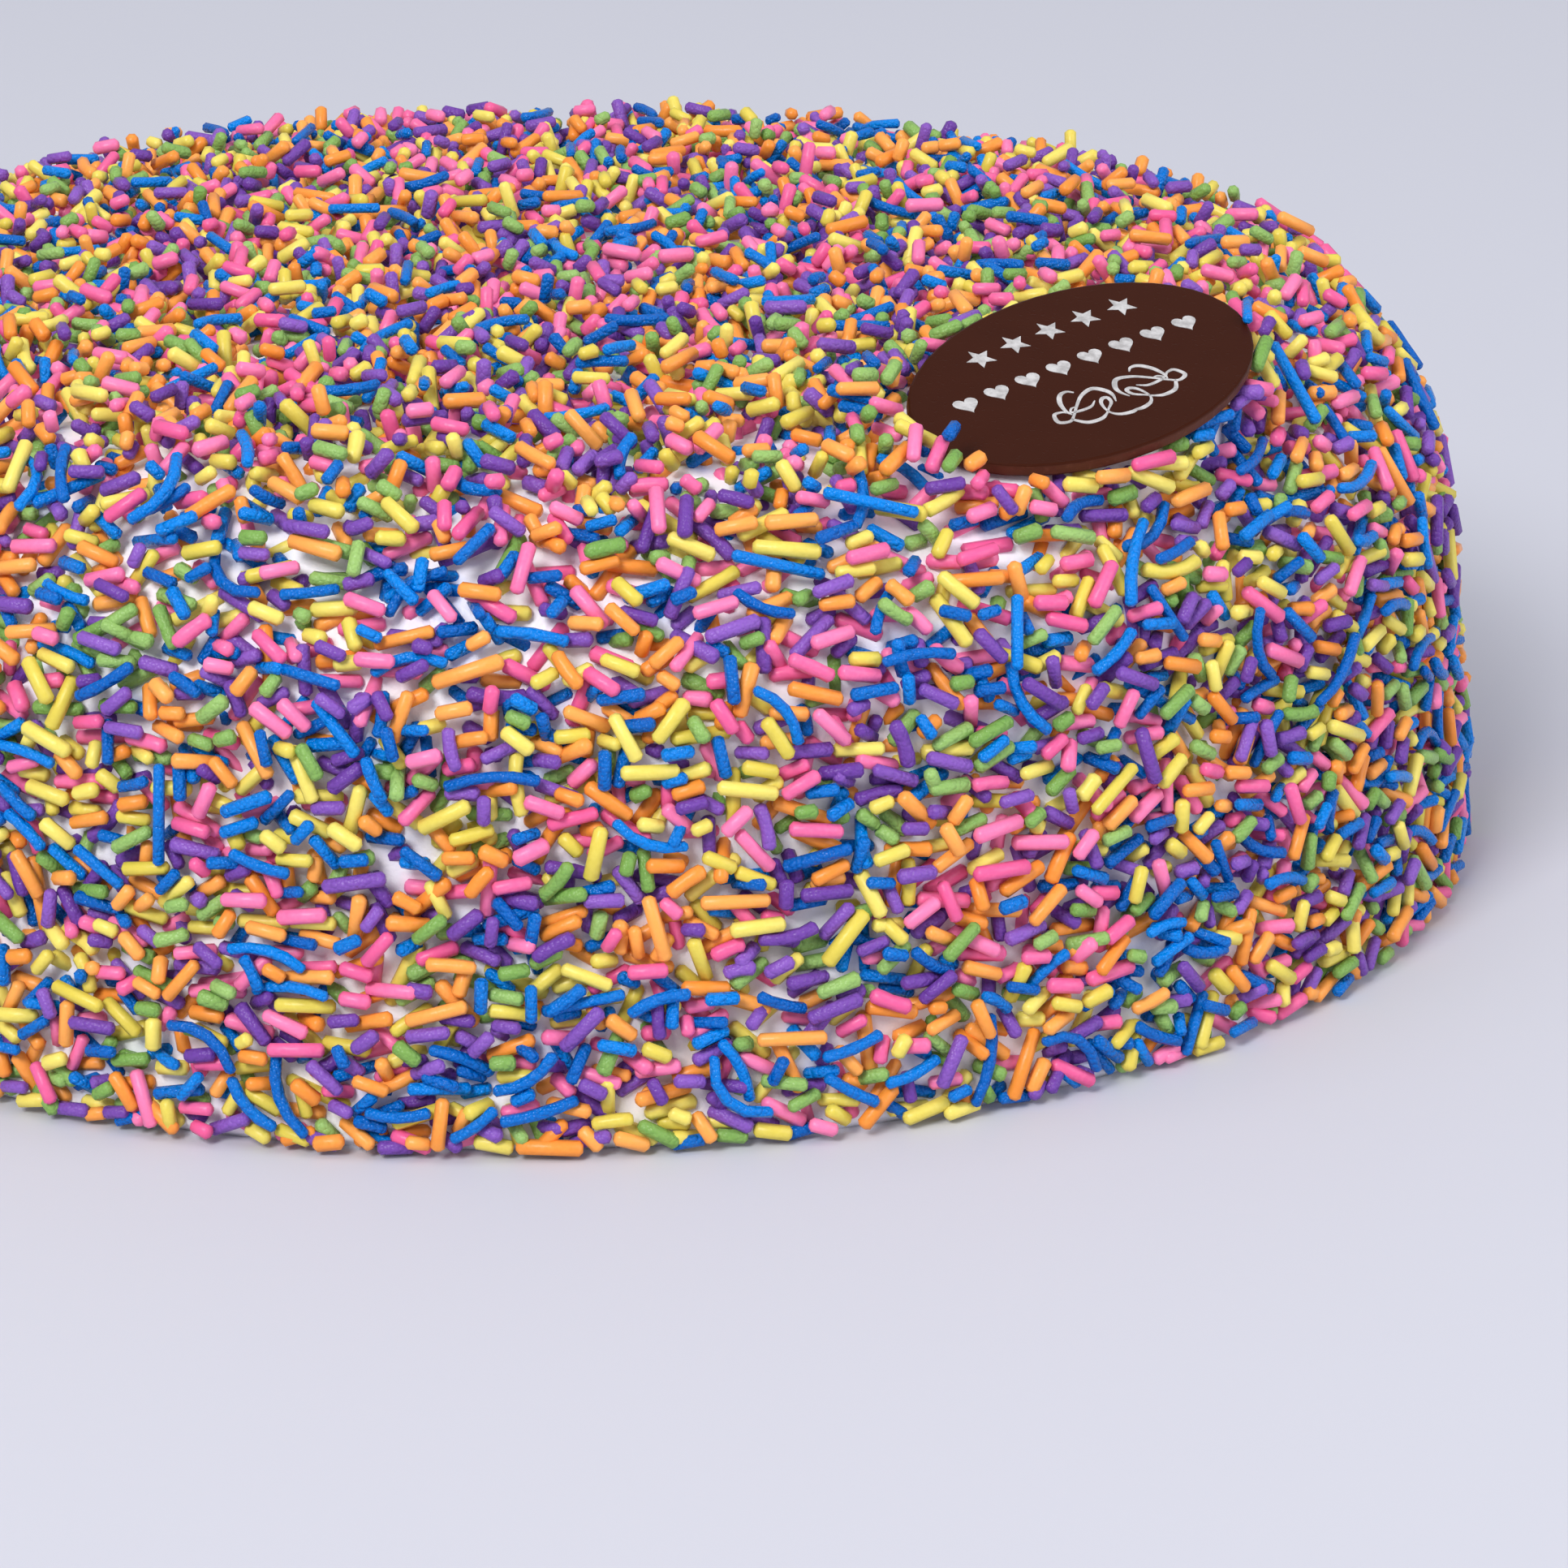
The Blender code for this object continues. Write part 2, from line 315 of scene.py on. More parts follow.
# %% [markdown]
# ## How sprinkles come to lie
#
# Sprinkles that are poured come to rest on whatever is under them: cream, or two other sprinkles. A
# rigid body simulation of sixteen thousand rods takes far too long, so the coat is built like snow. A map
# holds the height of the coat, unrolled round the crown. Each new sprinkle is tried at a few spots. The
# two bumps that it would rest on, one on each side of its middle, give its height and its tilt. It takes
# the best spot, and its own round back is added to the map for the next one.
#
# At first the map holds the cream, less the depth to which a sprinkle sinks in. That depth differs from
# place to place, which a soft noise gives: white noise, blurred with a Fourier transform.

# %% Map of the coat's height
CELL = 0.25 * MM
MAP_MARGIN = 8 * MM
MAP_SIZE = int(2 * (SECTION_LENGTH + MAP_MARGIN) / CELL)
PRESSED_IN = 0.85 * MM
PRESS_SPREAD = 0.35
PRESS_PATCH = 1.3 * MM
PRESS_LIMITS = (0.2 * MM, 1.5 * MM)


def map_positions():
    """Distance and turn of every cell of the map."""
    ticks = (np.arange(MAP_SIZE) - MAP_SIZE / 2 + 0.5) * CELL
    east, north = np.meshgrid(ticks, ticks, indexing="ij")
    return np.hypot(east, north), np.arctan2(north, east)


def soft_noise(size, chance):
    """White noise over the map, blurred to patches of a given size, with a spread of 1."""
    white = np.fft.rfft2(chance.standard_normal((MAP_SIZE, MAP_SIZE)))
    rows = np.fft.fftfreq(MAP_SIZE, CELL)[:, None]
    columns = np.fft.rfftfreq(MAP_SIZE, CELL)[None, :]
    kept = np.exp(-2 * (math.pi * size) ** 2 * (rows**2 + columns**2))
    blurred = np.fft.irfft2(white * kept, (MAP_SIZE, MAP_SIZE))
    return blurred / blurred.std()


cell_distance, cell_turn = map_positions()
pressed = PRESSED_IN * (1 + PRESS_SPREAD * soft_noise(PRESS_PATCH, np.random.default_rng(3)))
ground = cream_height(cell_distance, cell_turn)
coat = ground - np.clip(pressed, *PRESS_LIMITS)
owner = np.full(coat.shape, -1, np.int32)
print("map", coat.shape, "cells")

# %% [markdown]
# Sprinkles can't lie inside the plaque, so the map also has a ceiling: the plaque's underside. In front
# of its low edge the ceiling is a slope that starts part way down the plaque's side and rises away from
# it. It keeps the pile there so low that the cut side of the plaque stays in sight.

# %% Ceiling under and in front of the plaque
FAR = 1.0
UNDER_PLAQUE = 1.035
UNDER_GAP = 0.1 * MM
SIGHT_START = 0.43 * PLAQUE_THICKNESS
SIGHT_RISE = 11.3 * MM
SIGHT_REACH = 1.4
SIGHT_ANGLES = (204, 338)

face, out, angle = to_plaque(cell_distance, cell_turn)
ceiling = np.where(out < UNDER_PLAQUE, face - PLAQUE_THICKNESS - UNDER_GAP, FAR)
in_front = (out >= UNDER_PLAQUE) & (out < SIGHT_REACH) & (angle > SIGHT_ANGLES[0]) & (angle < SIGHT_ANGLES[1])
line_of_sight = face - SIGHT_START + SIGHT_RISE * (out - 1)
ceiling = np.where(in_front, line_of_sight, ceiling)
plaque_top = np.where(out < 1.0, face, -FAR)
print("cream's heap under the plaque", round(float(coat[out < UNDER_PLAQUE].max() / MM), 2), "mm")

# %% [markdown]
# A sprinkle is a short arc of a circle, straight when its bend is nought. The bend is the angle per metre
# of length. The first helper below gives the places along it in its own plane. The second carries such
# places over to cells of the map, and the third tells how far the round cake falls away under them.

# %% Places along a bent sprinkle, and their cells
SAMPLE_SHARES = np.array([-0.94, -0.72, -0.5, -0.28, -0.09, 0.09, 0.28, 0.5, 0.72, 0.94])
SIDE_SHARES = np.array([-0.8, 0.0, 0.8])
LEAST_BEND = 1.0
LEAST_RADIUS = 1e-6


def along_arc(place, bend):
    """Along and across positions on an arc of a given bend, with its middle of mass near nought."""
    if abs(bend) < LEAST_BEND:
        return place, np.zeros_like(place)
    reach = np.max(np.abs(place)) * abs(bend)
    lift = (1 - math.sin(reach) / reach) / bend
    return np.sin(place * bend) / bend, (np.cos(place * bend) - 1) / bend + lift


def cells_of(distance, turn, level, uphill):
    """Map cells of places given by steps level and uphill from a spot on the skin."""
    radius = section(distance)[0]
    stretch = distance / np.maximum(radius, LEAST_RADIUS)
    c, s = np.cos(turn), np.sin(turn)
    east = distance * c - uphill * c - level * stretch * s
    north = distance * s - uphill * s + level * stretch * c
    column = np.clip((east / CELL + MAP_SIZE / 2).astype(int), 0, MAP_SIZE - 1)
    row = np.clip((north / CELL + MAP_SIZE / 2).astype(int), 0, MAP_SIZE - 1)
    return column, row


def drop_of(distance, level, uphill):
    """How far the curved skin falls away from its tangent plane."""
    radius, _, out, _, bend = section(distance)
    return 0.5 * (level**2 * out / np.maximum(radius, LEAST_RADIUS) + uphill**2 * bend)


print("places felt under each sprinkle", SAMPLE_SHARES.size * SIDE_SHARES.size)

# %% [markdown]
# Resting is worked out for all the tried spots in one go. For each pair of samples, one on either side
# of the middle, a straight line over both is drawn, and the highest of these lines at the middle is the
# one that the sprinkle really rests on. A sprinkle that stands steeply in the pile has its slope given,
# and is pushed in between the others. A spot is blocked where the sprinkle would pass the ceiling, rise
# too far over the cream, or leave the solid cake's outline.

# %% Rest a sprinkle on the coat
LEFT = np.arange(len(SAMPLE_SHARES) // 2)
RIGHT = np.arange(len(SAMPLE_SHARES) // 2, len(SAMPLE_SHARES))
WIDEST = 124.3 * MM
HIGHEST = 86.6 * MM
LIMIT_SIDE = 5.2 * MM
LIMIT_TOP = 7.6 * MM
LIMIT_BLEND = (0.6, 0.9)
BACK_SHARE = 2.1


def rest(distance, turn, heading, length, radius, bend, steep, sunk):
    """Height, slope and covered share of a sprinkle at tried spots, and whether something is in the way."""
    short = 1 / math.sqrt(1 + steep**2)
    place = SAMPLE_SHARES * length / 2
    along, across = along_arc(place, bend)
    along = along * short
    side = SIDE_SHARES * radius
    angle = place * bend
    a = along[:, None] + side * np.sin(angle)[:, None]
    b = across[:, None] + side * np.cos(angle)[:, None]
    c, s = np.cos(heading)[:, None, None], np.sin(heading)[:, None, None]
    level = a * c - b * s
    uphill = a * s + b * c
    spot = distance[:, None, None]
    cells = cells_of(spot, turn[:, None, None], level, uphill)
    drop = drop_of(spot, level, uphill)
    belly = radius - np.sqrt(radius**2 - side**2)
    under = (coat[cells] - drop - belly).max(axis=2)
    if steep:
        height = np.median(under - steep * along, axis=1) - sunk * length * steep * short
        slope = np.full(len(distance), steep)
    else:
        t_left, t_right = along[LEFT][:, None], along[RIGHT][None, :]
        h_left, h_right = under[:, LEFT][:, :, None], under[:, RIGHT][:, None, :]
        middle = (h_left * t_right - h_right * t_left) / (t_right - t_left)
        tilt = (h_right - h_left) / (t_right - t_left)
        pick = np.arange(len(distance)), middle.reshape(len(distance), -1).argmax(axis=1)
        height = middle.reshape(len(distance), -1)[pick]
        slope = tilt.reshape(len(distance), -1)[pick]
    top = height[:, None] + slope[:, None] * along + 2 * radius + drop.mean(axis=2)
    blocked = (top > ceiling[cells].min(axis=2)).any(axis=1)
    skin_radius, skin_height, out, up, _ = section(distance)
    highest = height + np.abs(slope) * length / 2 * short + BACK_SHARE * radius
    middle = cells[0][:, len(place) // 2, 1], cells[1][:, len(place) // 2, 1]
    limit = LIMIT_SIDE + (LIMIT_TOP - LIMIT_SIDE) * smoothstep(*LIMIT_BLEND, up)
    blocked |= highest - ground[middle] > limit
    blocked |= skin_radius + out * highest > WIDEST
    blocked |= skin_height + up * highest > HIGHEST
    covered = (coat[cells] > ground[cells]).mean(axis=(1, 2))
    return height, slope, covered, blocked


print("limits over the cream", round(LIMIT_SIDE / MM, 1), "to", round(LIMIT_TOP / MM, 1), "mm")

# %% [markdown]
# When a sprinkle has settled, its round back raises the map, so that the next one can rest on it. Only the
# cells in a small window round it are worked out. Each raised cell also notes which sprinkle owns it.

# %% Add a sprinkle's back to the map
def settle(index, distance, turn, heading, length, radius, bend, height, slope):
    """Adds a resting sprinkle's back to the map."""
    grow = math.sqrt(1 + slope**2)
    reach = length / 2 + radius
    width = max(distance / max(float(section(distance)[0]), LEAST_RADIUS), 1.0)
    column, row = cells_of(distance, turn, np.zeros(1), np.zeros(1))
    span = int(reach * width / CELL) + 2
    first = max(column[0] - span, 0), max(row[0] - span, 0)
    window = slice(first[0], column[0] + span), slice(first[1], row[0] + span)
    east = (np.arange(first[0], first[0] + coat[window].shape[0]) + 0.5 - MAP_SIZE / 2) * CELL
    north = (np.arange(first[1], first[1] + coat[window].shape[1]) + 0.5 - MAP_SIZE / 2) * CELL
    east = east[:, None] - distance * math.cos(turn)
    north = north[None, :] - distance * math.sin(turn)
    uphill = -(east * math.cos(turn) + north * math.sin(turn))
    level = (north * math.cos(turn) - east * math.sin(turn)) / width
    a = level * math.cos(heading) + uphill * math.sin(heading)
    b = uphill * math.cos(heading) - level * math.sin(heading)
    if abs(bend) < LEAST_BEND:
        place, side = a * grow, b
    else:
        lift = (1 - math.sin(length / 2 * abs(bend)) / (length / 2 * abs(bend))) / bend
        depth = 1 / bend + b - lift
        sign = math.copysign(1.0, bend)
        place = np.arctan2(a * grow * sign, depth * sign) / bend
        side = np.hypot(a * grow, depth) * sign - 1 / bend
    inside = (np.abs(place) <= length / 2) & (np.abs(side) <= radius)
    back = slope * a + grow * (radius + np.sqrt(np.clip(radius**2 - side**2, 0, None)))
    back = np.minimum(back, abs(slope) * length / 2 / grow + radius * (grow + 1 / grow))
    back += height + drop_of(distance, level, uphill)
    raised = inside & (back > coat[window])
    coat[window] = np.where(raised, back, coat[window])
    owner[window] = np.where(raised, index, owner[window])


print("map is", round(MAP_SIZE * CELL / MM), "mm wide")

# %% [markdown]
# ## Kinds of sprinkles
#
# The six colours aren't alike. The pastel ones are thick, straight and short, with blunt ends. The blue
# ones are thinner: some are short, others long threads that are often bent to a hook. One table gives each
# kind its share of the mix, its shortest and longest length with the two exponents of a beta distribution
# between them, its radius, the share of bent ones, and the angle of the strongest hook. Lengths and radii
# are in millimetres.

# %% Kinds and how many
KINDS = {
    "threads": {"share": 0.11, "lengths": (6.5, 13.0, 1.2, 2.0), "radius": 0.74, "bent": 0.80, "hook": 150},
    "blue": {"share": 0.14, "lengths": (2.8, 7.2, 1.6, 1.8), "radius": 0.80, "bent": 0.15, "hook": 60},
    "purple": {"share": 0.165, "lengths": (2.8, 7.8, 1.8, 2.2), "radius": 0.89, "bent": 0.14, "hook": 50},
    "pink": {"share": 0.155, "lengths": (2.8, 7.8, 1.8, 2.2), "radius": 0.92, "bent": 0.08, "hook": 30},
    "orange": {"share": 0.17, "lengths": (2.8, 9.8, 1.5, 2.9), "radius": 0.91, "bent": 0.12, "hook": 40},
    "yellow": {"share": 0.15, "lengths": (2.8, 9.6, 1.6, 2.8), "radius": 0.92, "bent": 0.14, "hook": 60},
    "green": {"share": 0.11, "lengths": (2.4, 6.8, 1.6, 2.0), "radius": 0.92, "bent": 0.10, "hook": 40},
}
KIND_NAMES = list(KINDS)
THREADS = KIND_NAMES.index("threads")
BLUES = (THREADS, KIND_NAMES.index("blue"))
THICKNESS_SPREAD = (0.92, 1.06)
HOOK_SPREAD = (0.2, 1.0)
SHORT_HOOK = 0.25


def draw_sprinkles(count, chance):
    """Kind, length, radius and bend of a handful of sprinkles."""
    kinds = chance.choice(len(KINDS), count, p=[kind["share"] for kind in KINDS.values()])
    lengths, radii, bends = np.empty(count), np.empty(count), np.empty(count)
    for index, kind in enumerate(KINDS.values()):
        mine = kinds == index
        low, high, first, second = kind["lengths"]
        size = chance.beta(first, second, mine.sum())
        lengths[mine] = (low + (high - low) * size) * MM
        radii[mine] = kind["radius"] * MM * chance.uniform(*THICKNESS_SPREAD, mine.sum())
        turned = np.radians(kind["hook"]) * chance.uniform(*HOOK_SPREAD, mine.sum())
        turned *= SHORT_HOOK + (1 - SHORT_HOOK) * size
        turned *= chance.random(mine.sum()) < kind["bent"]
        bends[mine] = turned / lengths[mine] * chance.choice((-1, 1), mine.sum())
    return kinds, lengths, radii, bends


print("kinds", KIND_NAMES)

# %% [markdown]
# ## Where they lie
#
# Enough sprinkles fall to cover the cake between two and three times, yet some cream shows, because they
# lie on each other. On the side a few patches stay thin. They are soft spots given by their turn and
# height, in degrees and millimetres. Elsewhere a slow wave thins the side a little, and at the foot, where
# fallen ones gather, it is deeper.

# %% Depth of the coat over the skin
TOP_DEPTH = 2.75
SIDE_DEPTH = 2.68
FOOT_DEPTH = 0.8
FOOT_BLEND = (9 * MM, 2 * MM)
TOP_BLEND = (0.75, 0.91)
SLOW_WAVE = 0.14
# Thin patches: turn, height, half width, half height and how much is missing
THIN_PATCHES = (
    (-119, 66, 11, 5, 0.78),
    (-109, 70, 13, 5, 0.85),
    (-91, 70, 11, 6, 0.88),
    (-79, 66, 7, 3, 0.50),
    (-69, 70, 11, 6, 0.91),
    (-62, 66, 10, 6, 0.84),
    (-37, 62, 8, 6, 0.50),
    (-20, 70, 7, 6, 0.75),
    (-65, 8, 8, 5, 0.60),
    (-76, 31, 7, 4, 0.55),
    (-97, 52, 6, 4, 0.50),
    (-58, 46, 6, 5, 0.50),
    (24, 66, 18, 5, 0.60),
    (70, 68, 16, 5, 0.65),
    (100, 30, 9, 9, 0.50),
    (140, 60, 14, 6, 0.60),
    (200, 66, 12, 5, 0.60),
)


def closeness(distance, turn, spot):
    """1 in the middle of a soft spot on the side, falling to 0 outside it."""
    where, level, wide, tall = spot
    away = (turn - math.radians(where) + math.pi) % (2 * math.pi) - math.pi
    height = section(distance)[1]
    off = np.hypot(away * FOOT_RADIUS / (wide * MM), (height - level * MM) / (tall * MM))
    return np.exp(-off * off)


def on_top(distance):
    """1 on the top, 0 on the side."""
    return smoothstep(*TOP_BLEND, section(distance)[3])


def wanted_depth(distance, turn):
    """How many times sprinkles cover a spot of the skin."""
    height = section(distance)[1]
    slow = np.sin(5 * turn + 1.0 + 90 * height) * np.sin(11 * turn - 140 * height + 2.0)
    side = SIDE_DEPTH * (1 + SLOW_WAVE * slow)
    for *spot, missing in THIN_PATCHES:
        side = side * (1 - missing * closeness(distance, turn, spot))
    side = side + FOOT_DEPTH * smoothstep(*FOOT_BLEND, height)
    return side + (TOP_DEPTH - side) * on_top(distance)


print("depth", SIDE_DEPTH, "on the side,", TOP_DEPTH, "on top")

# %% [markdown]
# The spots are drawn at random over the skin, and a draw is kept as often as the wanted depth and the
# width of the skin there say. The same depth, summed over the skin and divided by the area that one
# sprinkle covers, gives how many are needed.

# %% Spots and number of sprinkles
MEAN_FOOTPRINT = 8.0 * MM**2
COUNTING_SPOTS = 40000


def draw_spots(count, chance):
    """Spots on the skin, as many per area as the wanted depth says."""
    found = []
    while sum(len(f) for f in found) < count:
        distance = SECTION_LENGTH * chance.random(4 * count)
        turn = chance.uniform(-math.pi, math.pi, 4 * count)
        weight = section(distance)[0] * wanted_depth(distance, turn)
        kept = chance.random(4 * count) * FOOT_RADIUS * TOP_DEPTH < weight
        found.append(np.stack([distance, turn], 1)[kept])
    return np.concatenate(found)[:count]


def count_of_sprinkles():
    """Number that gives the wanted depth over the whole skin."""
    chance = np.random.default_rng(1)
    distance = SECTION_LENGTH * chance.random(COUNTING_SPOTS)
    turn = chance.uniform(-math.pi, math.pi, COUNTING_SPOTS)
    mean = (section(distance)[0] * wanted_depth(distance, turn)).mean()
    return int(2 * math.pi * SECTION_LENGTH * mean / MEAN_FOOTPRINT)


print("drawing", count_of_sprinkles(), "sprinkles")

# %% [markdown]
# One sprinkle is laid at the best of its spots. The best one is low and not too tilted, and it is still
# bare rather than covered by others. On the side about half of them lie level, as they slid down. Near the
# floor a spot is moved up until the whole sprinkle is clear of the floor.

# %% Lay one sprinkle
COVER_PENALTY = 2.2 * MM
FLOOR_GAP = 0.15 * MM
LEVEL_SHARE = 0.55
LEVEL_SPREAD = 0.5
LEVEL_BELOW = 0.8
ARM_ROOM = 1.02
STEEPEST = 1.1


def above_floor(distance, heading, length, radius, bend):
    """Whether the whole sprinkle stays over the floor at these spots."""
    height = section(distance)[1]
    arm = np.abs(np.sin(heading)) * length / 2
    if abs(bend) > LEAST_BEND:
        arm = length / 2
    return height - arm - radius > FLOOR_GAP


def lay_one(index, spots, length, radius, bend, chance, steep=0.0, sunk=0.0):
    """Picks the best of the spots for one sprinkle, lays it and gives its row, or nothing."""
    distance, turn = spots[:, 0], spots[:, 1]
    heading = chance.uniform(0, 2 * math.pi, len(spots))
    level = (chance.random(len(spots)) < LEVEL_SHARE) & (section(distance)[3] < LEVEL_BELOW)
    heading = np.where(level, chance.normal(0, LEVEL_SPREAD, len(spots)), heading)
    arm = length / 2 * (np.abs(np.sin(heading)) if abs(bend) < LEAST_BEND else 1.0)
    distance = np.minimum(distance, SECTION_LENGTH - radius - 2 * FLOOR_GAP - ARM_ROOM * arm)
    height, slope, covered, blocked = rest(distance, turn, heading, length, radius, bend, steep, sunk)
    blocked |= (np.abs(slope) > STEEPEST) & (steep == 0)
    blocked |= ~above_floor(distance, heading, length, radius, bend)
    if blocked.all():
        return None
    score = height + np.abs(slope) * length / 4 + covered * COVER_PENALTY
    best = np.where(blocked, FAR, score).argmin()
    row = distance[best], turn[best], heading[best], length, radius, bend, height[best], slope[best]
    settle(index, *row)
    return row


print("gap to the floor", round(FLOOR_GAP / MM, 2), "mm or more")

# %% [markdown]
# Colours aren't mixed quite evenly on the side: a hand presses on a handful at a time, and some handfuls
# hold more of one colour. Each kind gets a soft noise of its own that says where it gathers. The blue ones
# also gather in larger spots, given as the thin patches are.

# %% Where each colour gathers
GATHER_SIZE = 6.0 * MM
BLUE_NOISE = 0.5
BLUE_PULL = 1.3
BLUE_SPOTS = (
    (-97, 62, 6, 5), (-86, 68, 6, 3), (-91, 58, 6, 4), (-84, 46, 8, 4), (-90, 27, 9, 6), (-110, 17, 9, 5),
    (-114, 43, 8, 5), (-75, 36, 8, 5), (-39, 57, 7, 12), (-27, 30, 8, 12), (-60, 40, 7, 5), (10, 40, 9, 16),
    (55, 60, 12, 7), (95, 45, 10, 14), (135, 25, 12, 8), (170, 60, 12, 8), (205, 40, 9, 14),
)
gathering = [soft_noise(GATHER_SIZE, np.random.default_rng(40 + kind)) for kind in range(len(KINDS))]


def liking(kind, spots):
    """How much sprinkles of a kind gather at these spots."""
    distance, turn = spots[:, 0], spots[:, 1]
    wave = gathering[kind][cells_of(distance, turn, np.zeros(len(spots)), np.zeros(len(spots)))]
    if kind in BLUES:
        wave = BLUE_NOISE * wave + BLUE_PULL * sum(closeness(distance, turn, spot) for spot in BLUE_SPOTS)
    return wave


print("blue gathers in", len(BLUE_SPOTS), "spots")

# %% [markdown]
# Now the coat is laid, one sprinkle after the other. On the side each gets a dozen spots, keeps those that
# its colour likes best and takes the best of them, because a hand pressed the coat flat. In the pile on
# top most choose between two spots only, about every fourth one stands steeply between the others, all are
# a little shorter, and many of the blue ones are missing. The long threads mostly come late, so that they
# lie over the others.

# %% Lay the coat
TRIES = 12
TRIES_ON_TOP = {"threads": 4, "steep": 1, "flat": 2}
TRIES_ON_SIDE = {"blue": 6, "other": 8}
CLEARLY_ON_SIDE = 0.6
THREADS_LATER = 0.30
TOP_SHORTER = 0.78
BLUES_MISSING_ON_TOP = 0.35
THREADS_MISSING_ON_TOP = 0.75
# Share of steep ones, their angles in radians, and how deep they are pushed in as a share of their height
STEEP_ON_TOP = (0.26, (0.45, 1.35), (0.15, 0.40))
STEEP_ON_SIDE = (0.10, (0.35, 0.95), (0.20, 0.40))


def lay_coat(count):
    """Rows of the laid sprinkles: place, heading, length, radius, bend, height, slope and kind."""
    chance = np.random.default_rng(5)
    kinds, lengths, radii, bends = draw_sprinkles(count, chance)
    blues = np.isin(kinds, BLUES)
    late = np.argsort(chance.random(count) + THREADS_LATER * (kinds == THREADS))
    kinds, lengths, radii, bends, blues = kinds[late], lengths[late], radii[late], bends[late], blues[late]
    spots = draw_spots(count * TRIES, chance).reshape(count, TRIES, 2)
    rows = []
    for index in range(count):
        tries, steep, sunk = spots[index], 0.0, 0.0
        threads = kinds[index] == THREADS
        if chance.random() < on_top(tries[0, 0]):
            missing = THREADS_MISSING_ON_TOP if threads else BLUES_MISSING_ON_TOP
            if blues[index] and chance.random() < missing:
                continue
            share, angles, pushes = STEEP_ON_TOP
            stands = chance.random() < share and not threads
            tries = tries[: TRIES_ON_TOP["threads" if threads else "steep" if stands else "flat"]]
            lengths[index] *= TOP_SHORTER
            bends[index] /= TOP_SHORTER
        else:
            tries = tries[on_top(tries[:, 0]) < CLEARLY_ON_SIDE]
            kept = TRIES_ON_SIDE["blue" if blues[index] else "other"]
            tries = tries[np.argsort(-liking(kinds[index], tries))][:kept]
            share, angles, pushes = STEEP_ON_SIDE
            stands = chance.random() < share and not threads
        if stands:
            steep = math.tan(chance.uniform(*angles))
            sunk = chance.uniform(*pushes)
            bends[index] = 0.0
        if len(tries):
            row = lay_one(len(rows), tries, lengths[index], radii[index], bends[index], chance, steep, sunk)
            if row is not None:
                rows.append((*row, kinds[index]))
    return np.array(rows)


laid = lay_coat(count_of_sprinkles())
top_coat = coat[(cell_distance < FLAT_RADIUS) & (out > SIGHT_REACH)] / MM
side_coat = coat[(cell_distance > FLAT_RADIUS + ARC_LENGTH) & (cell_distance < SECTION_LENGTH)] / MM
print("laid", len(laid), "sprinkles")
print("coat on top", top_coat.mean().round(2), "mm, on the side", side_coat.mean().round(2), "mm")

# %% [markdown]
# The plaque was pushed into the pile, so sprinkles crowd against its edge. They are laid in a ring round
# the oval, and many find no room, so more are tried than stay. A few also lie over the edge, at listed angles
# of the oval. For those the plaque's face becomes part of the map, and the ceiling
# is lifted.

# %% Sprinkles against and over the plaque's edge
RING_COUNT = 170
RING_REACH = (1.06, 1.34)
RING_TRIES, RING_LONGEST = 6, 5.5 * MM
OVER_EDGE = ((150, 1.08), (190, 1.12), (-10, 1.06), (-22, 1.07), (-34, 1.09))
OVER_TRIES, OVER_LONGEST = 8, 6.5 * MM
SPOT_SPREAD = 0.5 * MM
EDGE_ROOM = 0.8 * MM
LOW_ROOM = 3.0 * MM
FACE_GAP = 0.05 * MM


def spot_by_plaque(turn_in_oval, out):
    """Spot of the skin behind a place in the plaque's plane."""
    angle = math.radians(turn_in_oval)
    along = PLAQUE_HALF_LENGTH * out * math.cos(angle)
    across = PLAQUE_HALF_WIDTH * out * math.sin(angle)
    point = np.array(PLAQUE_FRAME @ Vector((along, across, 0)))
    radius = np.hypot(point[0], point[1])
    over = math.atan2(max(radius - FLAT_RADIUS, 0.0), point[2] - WALL_RISE)
    distance = radius if radius < FLAT_RADIUS else FLAT_RADIUS + over * SHOULDER_RADIUS
    return distance, math.atan2(point[1], point[0])


def lay_near_plaque(places, tries, longest, chance):
    """Rows of short straight sprinkles laid close to places given by angle in the oval and how far out."""
    kinds, lengths, radii, bends = draw_sprinkles(len(places), chance)
    rows = []
    for index, (angle, reach) in enumerate(places):
        spot = np.array(spot_by_plaque(angle, reach))
        spots = spot + chance.normal(0, SPOT_SPREAD, (tries, 2)) * np.array([1.0, 1.0 / FLAT_RADIUS])
        length = min(lengths[index], longest)
        row = lay_one(len(laid) + len(rows), spots, length, radii[index], 0.0, chance)
        if row is not None:
            rows.append((*row, kinds[index]))
    return np.array(rows)


chance = np.random.default_rng(8)
ground = ground + EDGE_ROOM
around = 360 * chance.random(RING_COUNT)
places = list(zip(around, chance.uniform(*RING_REACH, RING_COUNT)))
ring = lay_near_plaque(places, RING_TRIES, RING_LONGEST, chance)
laid = np.concatenate([laid, ring])
ceiling[:] = FAR
coat = np.maximum(coat, plaque_top + FACE_GAP)
ground = coat - LOW_ROOM
over_edge = lay_near_plaque(OVER_EDGE, OVER_TRIES, OVER_LONGEST, chance)
laid = np.concatenate([laid, over_edge])
print("against the plaque", len(ring), "over its edge", len(over_edge))

# %% [markdown]
# Some sprinkles fell off the side. They lie along the foot, close to the floor and against the cream. An
# even ring would look like a rope, so a third of the places stay empty, and the others differ in heading,
# slope and height.

